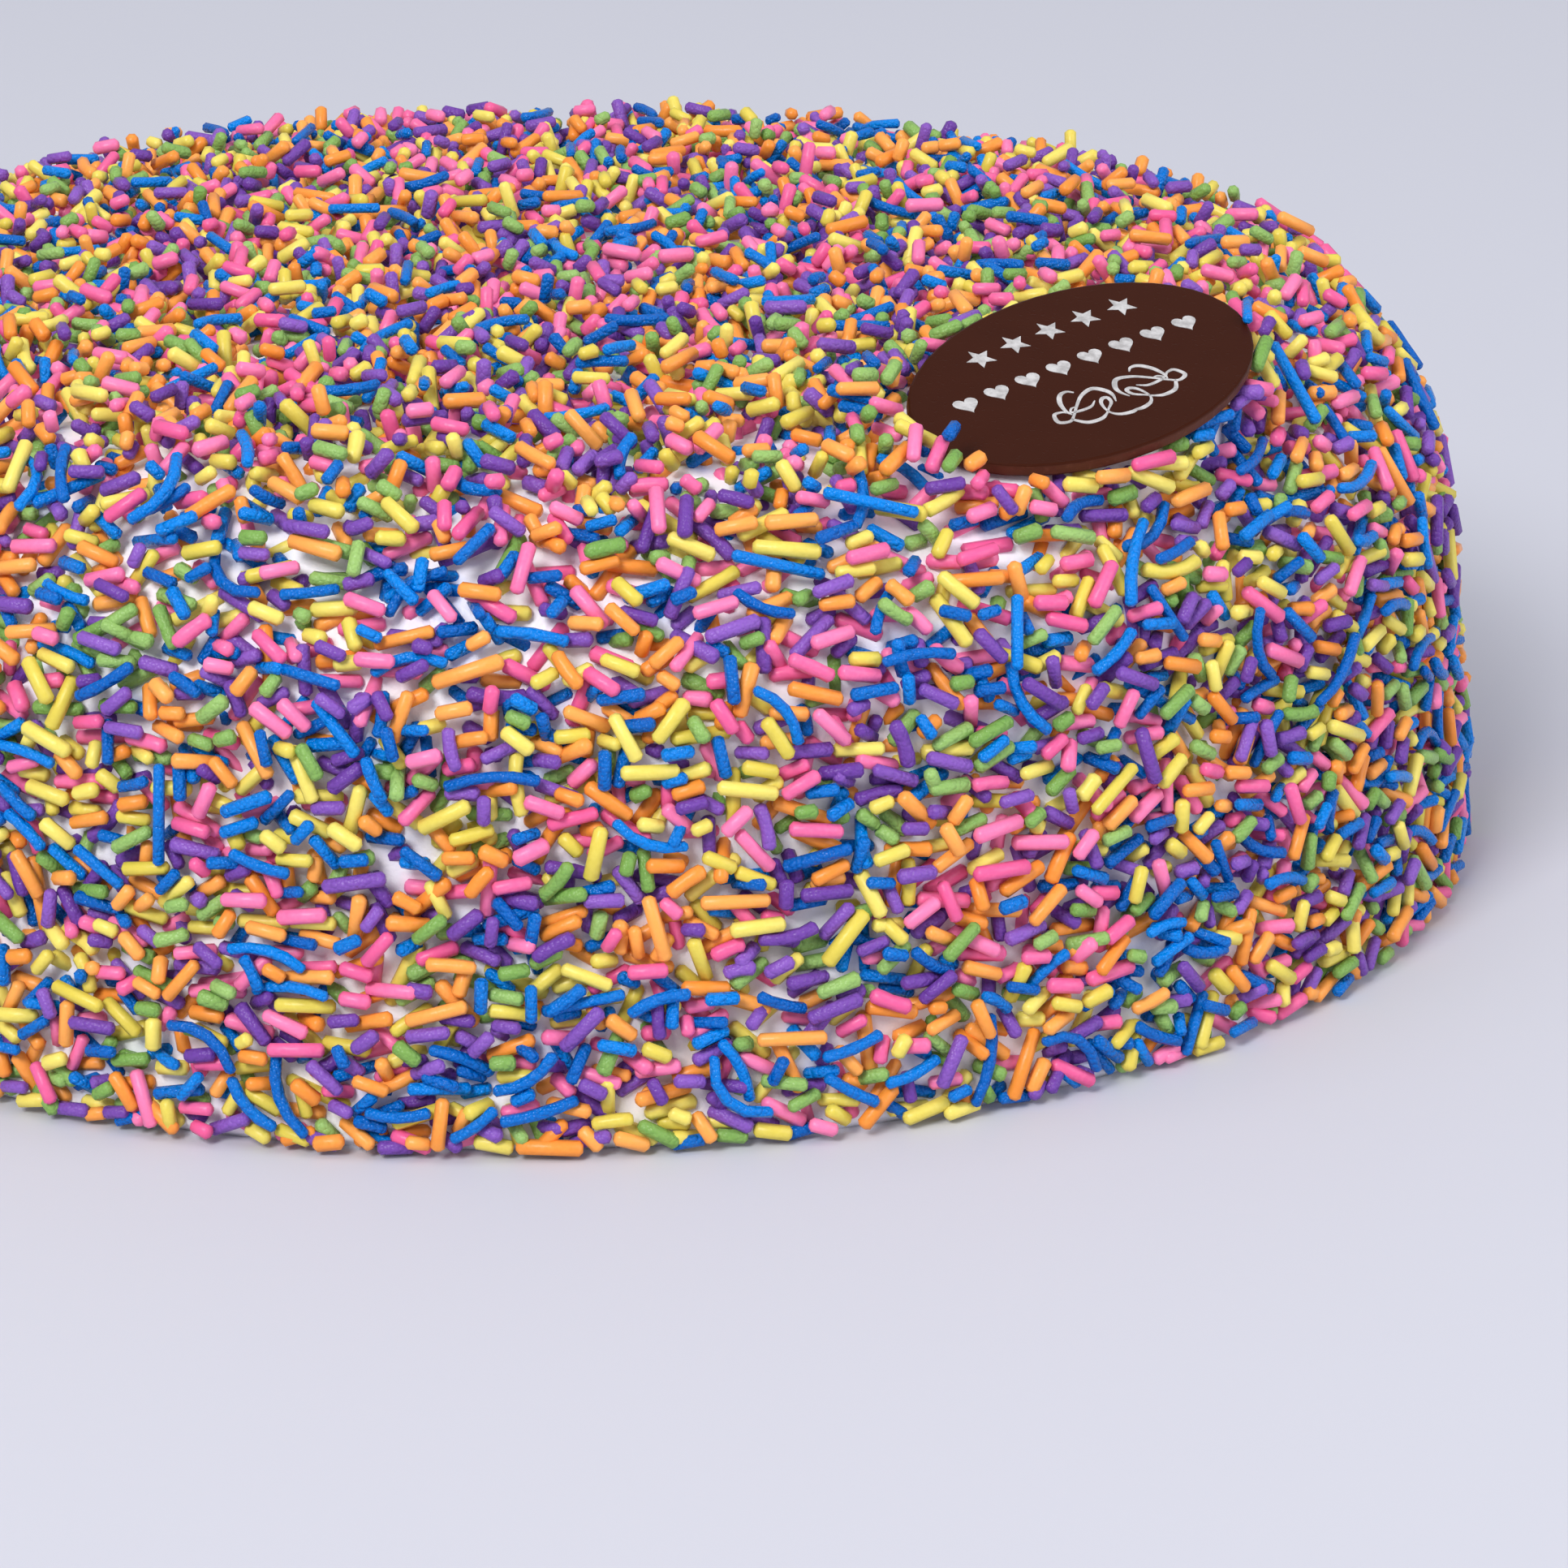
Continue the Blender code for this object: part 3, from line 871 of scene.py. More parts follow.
# %% Fallen sprinkles at the foot
FALLEN = 150
FALLEN_MISSING = 0.3
FALLEN_LONGEST = 5.0 * MM
FALLEN_JITTER = 0.3
FALLEN_HEADING, HEADING_LIMIT = 0.45, 1.2
FALLEN_SLOPE = 0.25
FALLEN_HEIGHT, HEIGHT_LIMIT = 1.2, 1.7 * MM


def lay_fallen(count):
    """Rows of short straight sprinkles along the foot."""
    chance = np.random.default_rng(31)
    kinds, lengths, radii, _ = draw_sprinkles(count, chance)
    jitter = chance.uniform(-FALLEN_JITTER, FALLEN_JITTER, count)
    turns = (np.arange(count) + jitter) / count * 2 * math.pi - math.pi
    length = np.minimum(lengths, FALLEN_LONGEST)
    heading = np.clip(chance.normal(0, FALLEN_HEADING, count), -HEADING_LIMIT, HEADING_LIMIT)
    slope = chance.normal(0, FALLEN_SLOPE, count)
    height = chance.uniform(0.0, FALLEN_HEIGHT, count) * MM + np.abs(slope) * length / 4
    height = np.minimum(height, HEIGHT_LIMIT - np.abs(slope) * length / 2)
    distance = SECTION_LENGTH - radii - FLOOR_GAP - np.abs(np.sin(heading)) * length / 2
    rows = np.stack([distance, turns, heading, length, radii, np.zeros(count), height, slope, kinds], 1)
    return rows[chance.random(count) > FALLEN_MISSING]


fallen = lay_fallen(FALLEN)
print("fallen", len(fallen))

# %% [markdown]
# Sprinkles that others bury completely are never seen. The map knows which sprinkle is on top in each cell,
# so those that own almost no cells are left out.

# %% Leave out the buried ones
LEAST_CELLS = 6

seen = np.bincount(owner[owner >= 0], minlength=len(laid))
laid = np.concatenate([laid[seen >= LEAST_CELLS], fallen])
print("seen", len(laid), "sprinkles")

# %% [markdown]
# ## Shape of one sprinkle
#
# A sprinkle is a rod of sugar paste, cut off blunt, with its cut edges rounded by tumbling. The pattern is
# made once from bmesh's cylinder: its end edges are bevelled, and for bent sprinkles it is also cut across
# so that it can bend. There are thousands of copies, so it has only a few faces. Its length is left open:
# the bevelled ends keep their size, and what is between them is stretched to each copy's own length.

# %% One rod as a pattern
PATTERN_HALF = 3.0
PATTERN_SIDES = 7
END_ROUNDING = 0.44
CUTS_REACH = 0.88
SAME_END = 0.1


def rod_pattern(cuts):
    """Vertices and faces of a rod of radius 1 and half length 3 along X, cut across in a few places."""
    made = bmesh.new()
    bmesh.ops.create_cone(
        made, cap_ends=True, segments=PATTERN_SIDES, radius1=1.0, radius2=1.0, depth=2 * PATTERN_HALF,
        matrix=Matrix.Rotation(math.pi / 2, 4, "Y"),
    )
    ends = [edge for edge in made.edges if abs(edge.verts[0].co.x - edge.verts[1].co.x) < SAME_END]
    bmesh.ops.bevel(
        made, geom=ends, offset=END_ROUNDING, segments=1, profile=0.5, affect="EDGES", material=-1
    )
    for cut in range(cuts):
        place = PATTERN_HALF * (2 * (cut + 1) / (cuts + 1) - 1) * CUTS_REACH
        everything = made.verts[:] + made.edges[:] + made.faces[:]
        bmesh.ops.bisect_plane(made, geom=everything, plane_co=(place, 0, 0), plane_no=(1, 0, 0))
    bmesh.ops.recalc_face_normals(made, faces=made.faces)
    made.verts.index_update()
    vertices = np.array([vertex.co for vertex in made.verts])
    faces = [[vertex.index for vertex in face.verts] for face in made.faces]
    made.free()
    return vertices, faces


BENT_CUTS = 3
straight_rod = rod_pattern(0)
bent_rod = rod_pattern(BENT_CUTS)
print("straight rod", len(straight_rod[1]), "faces, bent rod", len(bent_rod[1]))

# %% [markdown]
# Where each copy lies is worked out on arrays: all middle points, all directions and all pattern vertices
# at once. Along a copy its vertices follow the arc of its bend. The rods also swell and thin a little
# along their length, each in its own way.

# %% Place the copies
NEAR_END = 0.5
NO_BEND = 1e-6
LUMP_RATE = 1.9


def rods_of(rows, pattern, lumps, chance):
    """Vertices of copies of the pattern: copy by vertex by axis."""
    vertices = pattern[0]
    distance, turn, heading, length, radius, bend, height, slope = rows.T[:8]
    point, normal, level, uphill = skin(distance, turn)
    c, s = np.cos(heading)[:, None], np.sin(heading)[:, None]
    flat = level * c + uphill * s
    across = uphill * c - level * s
    along = flat + normal * slope[:, None]
    along /= np.linalg.norm(along, axis=1)[:, None]
    out = np.cross(along, across)
    centre = point + normal * (height + radius * np.sqrt(1 + slope**2))[:, None]
    end = PATTERN_HALF - np.abs(vertices[:, 0])
    half = length[:, None] / 2
    at_end = np.sign(vertices[:, 0]) * (half - end * radius[:, None])
    place = np.where(end < NEAR_END, at_end, vertices[:, 0] / PATTERN_HALF * half)
    curve = np.where(np.abs(bend) < LEAST_BEND, NO_BEND, bend)[:, None]
    reach = half * np.abs(curve)
    lift = (1 - np.sin(reach) / reach) / curve
    x = np.sin(place * curve) / curve
    y = (np.cos(place * curve) - 1) / curve + lift
    wave = 1 + lumps * np.sin(place / MM * LUMP_RATE + chance.uniform(0, 9, len(rows))[:, None])
    spin = chance.uniform(0, 2 * math.pi, len(rows))[:, None]
    side = (vertices[:, 1] * np.cos(spin) - vertices[:, 2] * np.sin(spin)) * radius[:, None] * wave
    lift_out = (vertices[:, 1] * np.sin(spin) + vertices[:, 2] * np.cos(spin)) * radius[:, None] * wave
    x = x + side * np.sin(place * curve)
    y = y + side * np.cos(place * curve)
    world = centre[:, None] + along[:, None] * x[..., None] + across[:, None] * y[..., None]
    return world + out[:, None] * lift_out[..., None]


print("pattern", PATTERN_HALF * 2, "long before it is stretched")

# %% [markdown]
# The copies are joined into one mesh for each colour, because thousands of objects would be slow and an
# export drops instances. Each copy carries a tone, a number of its own that its finish reads later.

# %% Join the copies of one colour
LUMPS = dict(threads=0.06, blue=0.07, purple=0.06, pink=0.05, orange=0.05, yellow=0.05, green=0.07)


def join_copies(name, batches, chance):
    """One mesh of the copies in all batches, each a pair of copied vertices and the pattern's faces."""
    points, corners, starts, tones = [], [], [], []
    vertex_count = corner_count = 0
    for world, faces in batches:
        copies, count, _ = world.shape
        loops = np.concatenate(faces)
        sizes = np.array([len(face) for face in faces])
        first = np.concatenate([[0], np.cumsum(sizes)[:-1]])
        step = np.arange(copies)[:, None]
        points.append(world.reshape(-1, 3))
        corners.append((loops + step * count).ravel() + vertex_count)
        starts.append((first + step * len(loops)).ravel() + corner_count)
        tones.append(np.repeat(chance.random(copies), count))
        vertex_count += copies * count
        corner_count += copies * len(loops)
    mesh = bpy.data.meshes.new(name)
    mesh.vertices.add(vertex_count)
    mesh.loops.add(corner_count)
    mesh.polygons.add(sum(len(part) for part in starts))
    mesh.vertices.foreach_set("co", np.concatenate(points).astype(np.float32).ravel())
    mesh.loops.foreach_set("vertex_index", np.concatenate(corners))
    mesh.polygons.foreach_set("loop_start", np.concatenate(starts))
    mesh.update(calc_edges=True)
    tone = mesh.attributes.new("tone", "FLOAT", "POINT")
    tone.data.foreach_set("value", np.concatenate(tones).astype(np.float32))
    mesh.shade_smooth()
    made = bpy.data.objects.new(name, mesh)
    bpy.context.scene.collection.objects.link(made)
    return made


sprinkles = {}
chance = np.random.default_rng(13)
for index, name in enumerate(KIND_NAMES):
    batches = []
    for pattern, bent in ((straight_rod, False), (bent_rod, True)):
        rows = laid[(laid[:, 8] == index) & ((np.abs(laid[:, 5]) > LEAST_BEND) == bent)]
        batches.append((rods_of(rows, pattern, LUMPS[name], chance), pattern[1]))
    sprinkles[name] = join_copies("sprinkles_" + name, batches, chance)
    triangles = sum(len(polygon.vertices) - 2 for polygon in sprinkles[name].data.polygons)
    print(name, sum(len(batch[0]) for batch in batches), "sprinkles,", triangles, "triangles")

# %% [markdown]
# ## Writing finishes as sums
#
# A finish is a network of nodes. Written by hand that is many lines, so a socket is wrapped in a small
# class: adding, subtracting or multiplying wrapped sockets adds the Math node that does it. Every other
# kind of node comes from one method.

# %% Helpers for finishes
class Socket:
    """An output of a node that can be used in sums."""

    def __init__(self, finish, output):
        self.finish = finish
        self.output = output

    def math(self, operation, first, second):
        return self.finish.node("Math", {"operation": operation}, {0: first, 1: second})

    def __add__(self, other):
        return self.math("ADD", self, other)

    def __sub__(self, other):
        return self.math("SUBTRACT", self, other)

    def __rsub__(self, other):
        return self.math("SUBTRACT", other, self)

    def __mul__(self, other):
        return self.math("MULTIPLY", self, other)


class Finish:
    """A material under construction."""

    def __init__(self, name, **constants):
        self.material = bpy.data.materials.new(name)
        self.material.use_nodes = True
        self.tree = self.material.node_tree
        self.shader = self.tree.nodes["Principled BSDF"]
        for key, value in constants.items():
            self.shader.inputs[key.replace("_", " ")].default_value = value

    def feed(self, socket, value):
        if isinstance(value, Socket):
            self.tree.links.new(value.output, socket)
        else:
            socket.default_value = value

    def node(self, kind, settings=None, inputs=None, output=0):
        made = self.tree.nodes.new("ShaderNode" + kind)
        for key, value in (settings or {}).items():
            setattr(made, key, value)
        for key, value in (inputs or {}).items():
            self.feed(made.inputs[key], value)
        return Socket(self, made.outputs[output])

    def position(self):
        return self.node("TexCoord", output="Object")

    def noise(self, scale, detail=2.0, roughness=0.5):
        values = {"Vector": self.position(), "Scale": scale, "Detail": detail, "Roughness": roughness}
        return self.node("TexNoise", {}, values)

    def ramp(self, value, low, high):
        """0 below low, 1 above high and smooth in between."""
        settings = {"interpolation_type": "SMOOTHSTEP"}
        return self.node("MapRange", settings, {"Value": value, "From Min": low, "From Max": high})

    def mix(self, share, first, second, blend="MIX"):
        settings = {"data_type": "RGBA", "blend_type": blend}
        return self.node("Mix", settings, {0: share, 6: first, 7: second}, 2)

    def bump(self, height, distance, strength=1.0):
        return self.node("Bump", {}, {"Height": height, "Distance": distance, "Strength": strength})

    def use(self, **links):
        for key, value in links.items():
            self.feed(self.shader.inputs[key.replace("_", " ")], value)
        return self.material


def rgb(red, green, blue):
    return (red, green, blue, 1.0)


# %% [markdown]
# ## Sugar finishes
#
# The pastel sprinkles have a waxy glaze: a satin skin with a soft highlight, and colour that differs a
# little from piece to piece. The blue ones look wet and beady, as if rolled in syrup, so they are smoother
# and get a bump of small round beads. Purple and green are in between. Each colour runs from a deep to a
# pale one, picked by the copy's tone and by a fine grain.

# %% Colours and gloss of the sprinkles
SUGARS = {
    "threads": {"deep": (0.0, 0.105, 0.45), "pale": (0.0, 0.220, 0.72), "rough": 0.16, "beads": 0.9},
    "blue": {"deep": (0.0, 0.105, 0.45), "pale": (0.0, 0.220, 0.72), "rough": 0.15, "beads": 1.1},
    "purple": {"deep": (0.130, 0.042, 0.30), "pale": (0.24, 0.10, 0.47), "rough": 0.32, "beads": 0.5},
    "pink": {"deep": (0.78, 0.100, 0.28), "pale": (0.90, 0.21, 0.42), "rough": 0.36, "beads": 0.0},
    "orange": {"deep": (0.83, 0.26, 0.034), "pale": (0.93, 0.38, 0.083), "rough": 0.36, "beads": 0.0},
    "yellow": {"deep": (0.68, 0.55, 0.072), "pale": (0.82, 0.69, 0.145), "rough": 0.36, "beads": 0.0},
    "green": {"deep": (0.17, 0.34, 0.072), "pale": (0.30, 0.49, 0.145), "rough": 0.32, "beads": 0.5},
}
BEAD_SIZE = 0.5 * MM
SUGAR_RELIEF = 0.14 * MM
GRAIN_SCALE = 1700.0
BEADED_SHINE, WAXY_SHINE = 0.26, 0.36


def sugar_finish(name, look):
    shine = BEADED_SHINE if look["beads"] else WAXY_SHINE
    finish = Finish("sugar_" + name, IOR=1.45, Specular_IOR_Level=shine)
    tone = finish.node("Attribute", {"attribute_name": "tone"}, output="Fac")
    grain = finish.noise(GRAIN_SCALE, 1.0)
    paleness = finish.ramp(tone * 0.8 + grain * 0.4, 0.1, 1.1)
    colour = finish.mix(paleness, rgb(*look["deep"]), rgb(*look["pale"]))
    relief = grain * 0.35
    if look["beads"]:
        place = {"Vector": finish.position(), "Scale": 1 / BEAD_SIZE}
        cells = finish.node("TexVoronoi", {}, place, "Distance")
        relief = (1 - cells * cells * 1.8) * look["beads"] + relief
    return finish.use(
        Base_Color=colour,
        Roughness=grain * 0.12 + look["rough"] - 0.06,
        Normal=finish.bump(relief, SUGAR_RELIEF, 1.0),
    )


for name, piece in sprinkles.items():
    piece.data.materials.append(sugar_finish(name, SUGARS[name]))
    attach(piece, "root")
    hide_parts("cake")
print("sugar finishes", len(SUGARS))

# %% [markdown]
# ## Cream finish
#
# Whipped cream is white and soft. Where wet sprinkles lie on it their colour bleeds, most of all blue, as
# pale stains close to the sprinkles. The stains are painted on the cream's vertices: each sprinkle that
# touches the cream tints the vertices near it. Under the plaque there is also a pink smear, where a
# sprinkle was wiped along the cream.

# %% Stains of sugar colour on the cream
STAIN_REACH = 3.0 * MM
STAIN_FALL = 1.5
STAIN_PALER, STAIN_DEPTH = 1.35, 0.6
STAIN_STRENGTH = dict(threads=0.75, blue=0.6, purple=0.3, pink=0.5, orange=0.3, yellow=0.3, green=0.2)
TOUCHING = 0.5 * MM
CREAM_WHITE = np.array([0.93, 0.925, 0.985])
# The smear's turn in degrees, height, half width and half height in millimetres, and strength
SMEAR = (-67.0, 72.0, 8.0, 4.0, 0.55)


def stain_cream(piece, rows):
    points = vertices_of(piece.data)
    tree = KDTree(len(points))
    for index, point in enumerate(points):
        tree.insert(point, index)
    tree.balance()
    colour = np.tile(CREAM_WHITE, (len(points), 1))
    spots = skin(rows[:, 0], rows[:, 1])[0]
    for spot, kind in zip(spots, rows[:, 8].astype(int)):
        name = KIND_NAMES[kind]
        dye = np.array(SUGARS[name]["pale"])
        for _, index, away in tree.find_range(spot, STAIN_REACH):
            share = STAIN_STRENGTH[name] * (1 - away / STAIN_REACH) ** STAIN_FALL
            colour[index] *= 1 - share * (1 - np.clip(dye * STAIN_PALER, 0, 1)) * STAIN_DEPTH
    turn, level, wide, tall, strength = SMEAR
    away = (np.arctan2(points[:, 1], points[:, 0]) - math.radians(turn)) * FOOT_RADIUS / (wide * MM)
    smear = strength * np.exp(-(away**2) - ((points[:, 2] - level * MM) / (tall * MM)) ** 2)
    colour *= 1 - smear[:, None] * (1 - np.array(SUGARS["pink"]["pale"]))
    stains = piece.data.attributes.new("stains", "FLOAT_COLOR", "POINT")
    rgba = np.concatenate([colour, np.ones((len(points), 1))], 1)
    stains.data.foreach_set("color", rgba.astype(np.float32).ravel())
    print("stains, darkest channel", colour.min().round(2))


on_cream = laid[(laid[:, 6] < TOUCHING) & (np.abs(laid[:, 7]) < STEEPEST)]
stain_cream(cream, on_cream)

# %% [markdown]
# The finish reads the stains as its colour. Fine pores darken it a little and roughen it, and some areas
# are wetter, so they shine more.

# %% Cream's finish
CREAM_PORES = 420.0
PORE_DEPTH = 0.5 * MM


def cream_finish():
    finish = Finish("whipped_cream", IOR=1.40)
    stains = finish.node("Attribute", {"attribute_name": "stains"}, output="Color")
    pores = finish.noise(CREAM_PORES, 4.0, 0.6)
    colour = finish.mix(finish.ramp(pores, 0.3, 0.7) * 0.35, stains, rgb(0.985, 0.98, 0.99), "MULTIPLY")
    wet = finish.ramp(finish.noise(130.0, 2.0), 0.45, 0.65)
    bump = finish.bump(pores, PORE_DEPTH, 0.5)
    return finish.use(Base_Color=colour, Roughness=0.52 - wet * 0.22, Normal=bump)


cream.data.materials.append(cream_finish())
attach(cream, "root")
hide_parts("cake")
print("cream's finish", cream.data.materials[0].name)

# %% [markdown]
# ## Plaque finish
#
# The plaque's solid already has the right shape, so it only gets a better finish. Moulded chocolate is
# nearly black brown with a satin face. Its cut side is a lighter brown, because the polish of the mould
# is missing there. The depth under the face tells the two apart.

# %% Chocolate
SIDE_FROM, SIDE_FULLY = -0.05 * MM, -0.55 * MM
CHOCOLATE_RELIEF = 0.06 * MM


def chocolate_finish():
    finish = Finish("dark_chocolate", IOR=1.46, Specular_IOR_Level=0.07)
    face = PLAQUE_AXES[:, 2]
    along = {0: finish.position(), 1: tuple(face)}
    height = finish.node("VectorMath", {"operation": "DOT_PRODUCT"}, along, "Value")
    height = height - float(face @ np.array(PLAQUE_CENTRE))
    side = finish.ramp(height, SIDE_FROM, SIDE_FULLY)
    clouds = finish.noise(160.0, 3.0)
    bloom = finish.ramp(finish.noise(900.0, 4.0, 0.65), 0.52, 0.75)
    polished = finish.mix(clouds, rgb(0.034, 0.0072, 0.0026), rgb(0.041, 0.0092, 0.0036))
    dull = finish.mix(bloom, rgb(0.095, 0.031, 0.019), rgb(0.13, 0.045, 0.028))
    pits = finish.ramp(finish.noise(1500.0, 2.0), 0.62, 0.70)
    return finish.use(
        Base_Color=finish.mix(side, polished, dull),
        Roughness=clouds * 0.10 + bloom * 0.06 + side * 0.15 + 0.27,
        Normal=finish.bump(clouds * 0.6 - pits * 0.4, CHOCOLATE_RELIEF, 0.6),
    )


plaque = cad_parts["plaque"]
plaque.data.materials.clear()
plaque.data.materials.append(chocolate_finish())
print("chocolate on", plaque.name)

# %% [markdown]
# ## Print on the plaque
#
# The print is a thin film of pale cocoa butter with a silvery sheen, pressed onto the chocolate. It is
# made of small flat shapes: a row of stars, a row of hearts and a scroll of two loops. They are drawn in
# the plaque's own plane. Each gets a thickness, and sinks into the chocolate a little so that no gap
# shows. Both rows bow slightly, as hand work does.

# %% Stars and hearts in the plaque's plane
FILM_SUNK = 0.03 * MM
FILM_DEPTH = 0.09 * MM
STAR_WAIST = 0.45
HEART_STEPS = 28


def thicken(made, faces, depth):
    """Gives flat faces a thickness."""
    grown = bmesh.ops.extrude_face_region(made, geom=faces)["geom"]
    moved = [part for part in grown if isinstance(part, bmesh.types.BMVert)]
    bmesh.ops.translate(made, verts=moved, vec=(0, 0, depth))
    bmesh.ops.recalc_face_normals(made, faces=made.faces)


def pour_into(target, made):
    """Adds one bmesh to another and frees it."""
    scratch = bpy.data.meshes.new("scratch")
    made.to_mesh(scratch)
    made.free()
    target.from_mesh(scratch)
    bpy.data.meshes.remove(scratch)


def star(size):
    corners = []
    for step in range(10):
        angle = math.pi / 2 + step * math.pi / 5
        reach = size * (1.0 if step % 2 == 0 else STAR_WAIST)
        corners.append((reach * math.cos(angle), reach * math.sin(angle)))
    return corners


def heart(size):
    corners = []
    for step in range(HEART_STEPS):
        t = 2 * math.pi * step / HEART_STEPS
        across = 16 * math.sin(t) ** 3
        up = 13 * math.cos(t) - 5 * math.cos(2 * t) - 2 * math.cos(3 * t) - math.cos(4 * t)
        corners.append((-across * size / 17, up * size / 17))
    return corners


def add_row(target, corners, count, start, span, level, bow, turn):
    """A row of equal films from a start, over a span, at a level, all in millimetres."""
    for index in range(count):
        share = index / (count - 1)
        place = (start + span * share) * MM, (level + bow * math.sin(share * 3)) * MM, 0.0
        made = bmesh.new()
        face = made.faces.new([made.verts.new((x, y, -FILM_SUNK)) for x, y in corners])
        thicken(made, [face], FILM_DEPTH)
        made.transform(Matrix.Translation(place) @ Matrix.Rotation(turn, 4, "Z"))
        pour_into(target, made)


film = bmesh.new()
add_row(film, star(2.0 * MM), 5, -9.0, 22.0, 8.6, 0.5, 0.2)
add_row(film, heart(1.75 * MM), 8, -16.5, 34.0, 1.6, 0.4, -0.12)
print("rows", len(film.faces), "faces")

# %% [markdown]
# The scroll is drawn with a pen whose line swells and thins. One half has four strokes, and the other is
# its mirror image. Each stroke is a smooth path through a few points, given as place across, place up and
# width of the pen, and a ribbon follows it.

# %% Scroll under the rows
SCROLL_HALF = (
    ((0.0, -3.30, 0.9), (0.9, -3.41, 1.2), (2.4, -3.0, 1.0), (3.2, -1.9, 0.6), (2.95, -0.2, 0.9),
     (2.2, 0.66, 1.1), (1.5, 0.5, 1.1), (1.7, -0.5, 0.9), (2.8, -1.4, 0.6), (3.5, -2.0, 0.6),
     (4.8, -2.6, 1.1), (6.7, -2.4, 1.2), (7.8, -1.2, 0.9), (8.0, -0.7, 0.5)),
    ((1.05, -0.64, 0.3), (0.55, 0.7, 1.0), (0.8, 1.9, 1.4), (1.95, 3.0, 1.3), (3.9, 2.5, 1.0),
     (5.8, 1.05, 0.8), (7.3, -0.35, 0.7), (8.5, -1.1, 0.9), (9.8, -0.5, 1.2), (9.3, 0.95, 1.0),
     (8.2, 0.95, 0.7), (7.7, 0.5, 0.4)),
    ((4.3, 3.5, 0.4), (5.0, 4.1, 0.8), (6.1, 3.9, 1.2), (7.15, 2.6, 1.3), (7.6, 0.9, 0.9), (7.4, -0.1, 0.4)),
    ((3.2, 0.8, 0.3), (4.4, 0.05, 0.8), (6.2, 0.05, 0.9), (7.2, 0.35, 0.6), (6.7, 0.95, 0.6),
     (6.1, 1.0, 0.3)),
)
SCROLL_MIDDLE = (0.5, -6.6)
PEN_WIDTH = 0.24 * MM
STROKE_STEPS = 6


def smooth_path(points, steps):
    """Points of a Catmull-Rom curve through the given ones, with their widths."""
    points = np.array(points, float)
    padded = np.concatenate([[2 * points[0] - points[1]], points, [2 * points[-1] - points[-2]]])
    t = np.arange(steps)[:, None] / steps
    parts = []
    for p0, p1, p2, p3 in zip(padded, padded[1:], padded[2:], padded[3:]):
        square = 2 * p0 - 5 * p1 + 4 * p2 - p3
        cube = 3 * p1 - p0 - 3 * p2 + p3
        parts.append(0.5 * (2 * p1 + (p2 - p0) * t + square * t**2 + cube * t**3))
    return np.concatenate([*parts, points[-1:]])


def add_stroke(target, path, side):
    """Film along a path, as quads between its two edges, mirrored when side is -1."""
    made = bmesh.new()
    middle = np.array(SCROLL_MIDDLE) + path[:, :2] * np.array([side, 1.0])
    ahead = np.gradient(middle, axis=0)
    across = np.stack([-ahead[:, 1], ahead[:, 0]], 1) / np.linalg.norm(ahead, axis=1)[:, None]
    half = across * path[:, 2:3] * PEN_WIDTH / MM
    level = FILM_DEPTH - FILM_SUNK
    left, right = (
        [made.verts.new((x * MM, y * MM, level)) for x, y in middle + sign * half] for sign in (-1, 1)
    )
    for index in range(len(path) - 1):
        made.faces.new((left[index], left[index + 1], right[index + 1], right[index]))
    thicken(made, made.faces[:], -FILM_DEPTH)
    pour_into(target, made)


scroll_film = bmesh.new()
for side in (1.0, -1.0):
    for points in SCROLL_HALF:
        add_stroke(scroll_film, smooth_path(points, STROKE_STEPS), side)
scroll = new_piece("print_scroll", scroll_film)
figures = new_piece("print_figures", film)
print("scroll", len(scroll.data.polygons), "faces")

# %% [markdown]
# The film is a little worn, so its silver is brighter in some spots than in others. Both pieces are turned
# slightly on the plaque and carried over to its place. Their faces stay flat, as they are thin plates.

# %% Print's finish and place
PRINT_TURN = math.radians(-6.0)


def print_finish():
    finish = Finish("silver_print", Metallic=0.55, IOR=1.5)
    worn = finish.noise(900.0, 3.0, 0.6)
    colour = finish.mix(finish.ramp(worn, 0.3, 0.7), rgb(0.52, 0.50, 0.49), rgb(0.78, 0.76, 0.75))
    return finish.use(Base_Color=colour, Roughness=worn * 0.2 + 0.35)


silver = print_finish()
on_plaque = PLAQUE_FRAME @ Matrix.Rotation(PRINT_TURN, 4, "Z")
for piece in (scroll, figures):
    piece.data.transform(on_plaque)
    piece.data.shade_flat()
    piece.data.materials.append(silver)
    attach(piece, "root")
print("print", len(scroll.data.polygons) + len(figures.data.polygons), "faces")

# %% [markdown]
# ## Floor and light
#
# The cake stands on a plain pale floor, large enough to reach past the picture's edges.

# %% Floor
FLOOR_SIZE = 12.0
FLOOR_CUTS = 8


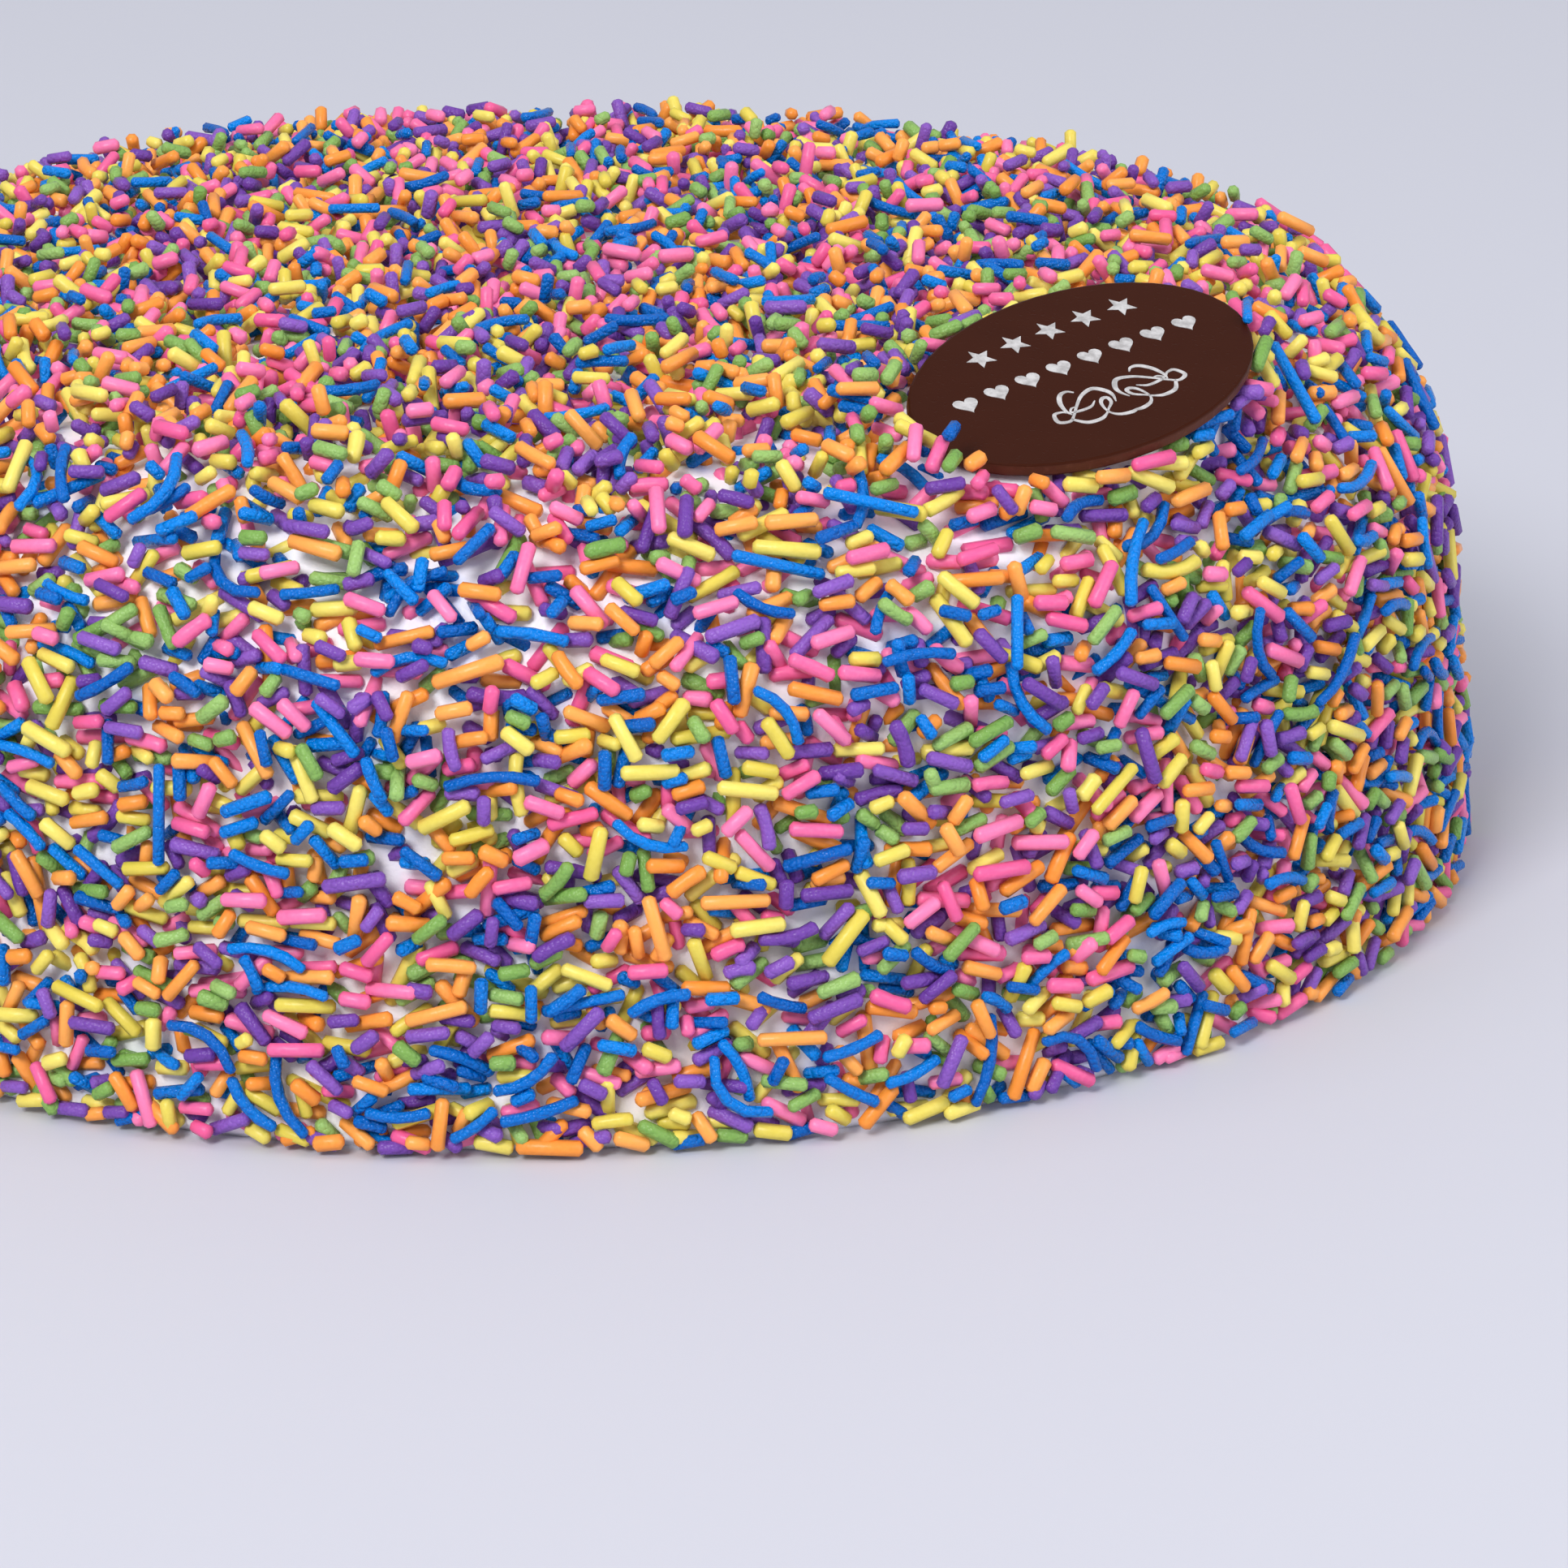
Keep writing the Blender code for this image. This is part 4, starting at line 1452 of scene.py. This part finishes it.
def floor_piece():
    made = bmesh.new()
    bmesh.ops.create_grid(made, x_segments=FLOOR_CUTS, y_segments=FLOOR_CUTS, size=FLOOR_SIZE / 2)
    floor = new_piece("floor", made)
    finish = Finish("pale_floor")
    tone = finish.noise(1.5, 2.0)
    colour = finish.mix(tone, rgb(0.57, 0.577, 0.642), rgb(0.60, 0.607, 0.672))
    floor.data.materials.append(finish.use(Base_Color=colour, Roughness=0.6))
    floor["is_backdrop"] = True


floor_piece()
print("floor", FLOOR_SIZE, "m")

# %% [markdown]
# The light is soft and a little cool: a large lamp from the front, above and on the left, a weaker one from
# the right, a faint one above, and a pale room all round. Large lamps give the sprinkles broad soft
# highlights. A lamp looks along its own -Z, so it is turned until that points at the cake.

# %% Lamps and room
AIM = Vector((0.0, 0.0, 0.04))
ROOM_COLOUR = rgb(0.86, 0.88, 0.95)
ROOM_STRENGTH = 0.54
# Name, place, size, power and colour
LAMPS = (
    ("key", (-1.40, -2.75, 2.55), 1.30, 122.0, (1.0, 0.99, 0.98)),
    ("fill", (2.80, -1.30, 1.50), 2.40, 46.0, (0.97, 0.97, 1.0)),
    ("top", (-0.60, -0.20, 3.20), 2.00, 16.0, (0.98, 0.99, 1.0)),
)
for name, place, size, power, colour in LAMPS:
    lamp = bpy.data.lights.new(name, "AREA")
    lamp.shape = "SQUARE"
    lamp.size = size
    lamp.energy = power
    lamp.color = colour
    holder = bpy.data.objects.new(name, lamp)
    turned = (AIM - Vector(place)).to_track_quat("-Z", "Y").to_matrix().to_4x4()
    holder.matrix_world = Matrix.Translation(place) @ turned
    bpy.context.scene.collection.objects.link(holder)

room = bpy.data.worlds.new("room")
room.use_nodes = True
background = room.node_tree.nodes["Background"]
background.inputs["Color"].default_value = ROOM_COLOUR
background.inputs["Strength"].default_value = ROOM_STRENGTH
bpy.context.scene.world = room
bpy.context.scene.view_settings.view_transform = "Standard"
print("lamps", len(LAMPS))

# %% [markdown]
# At the end the size of everything that was made is compared with the size of the solids. No piece may
# reach past them.

# %% Close the scene
visual_box = np.array(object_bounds())
past = np.maximum(CAD_BOX[0] - visual_box[0], visual_box[1] - CAD_BOX[1])
print("inside the solids' box by", (-past / MM).round(2), "mm")
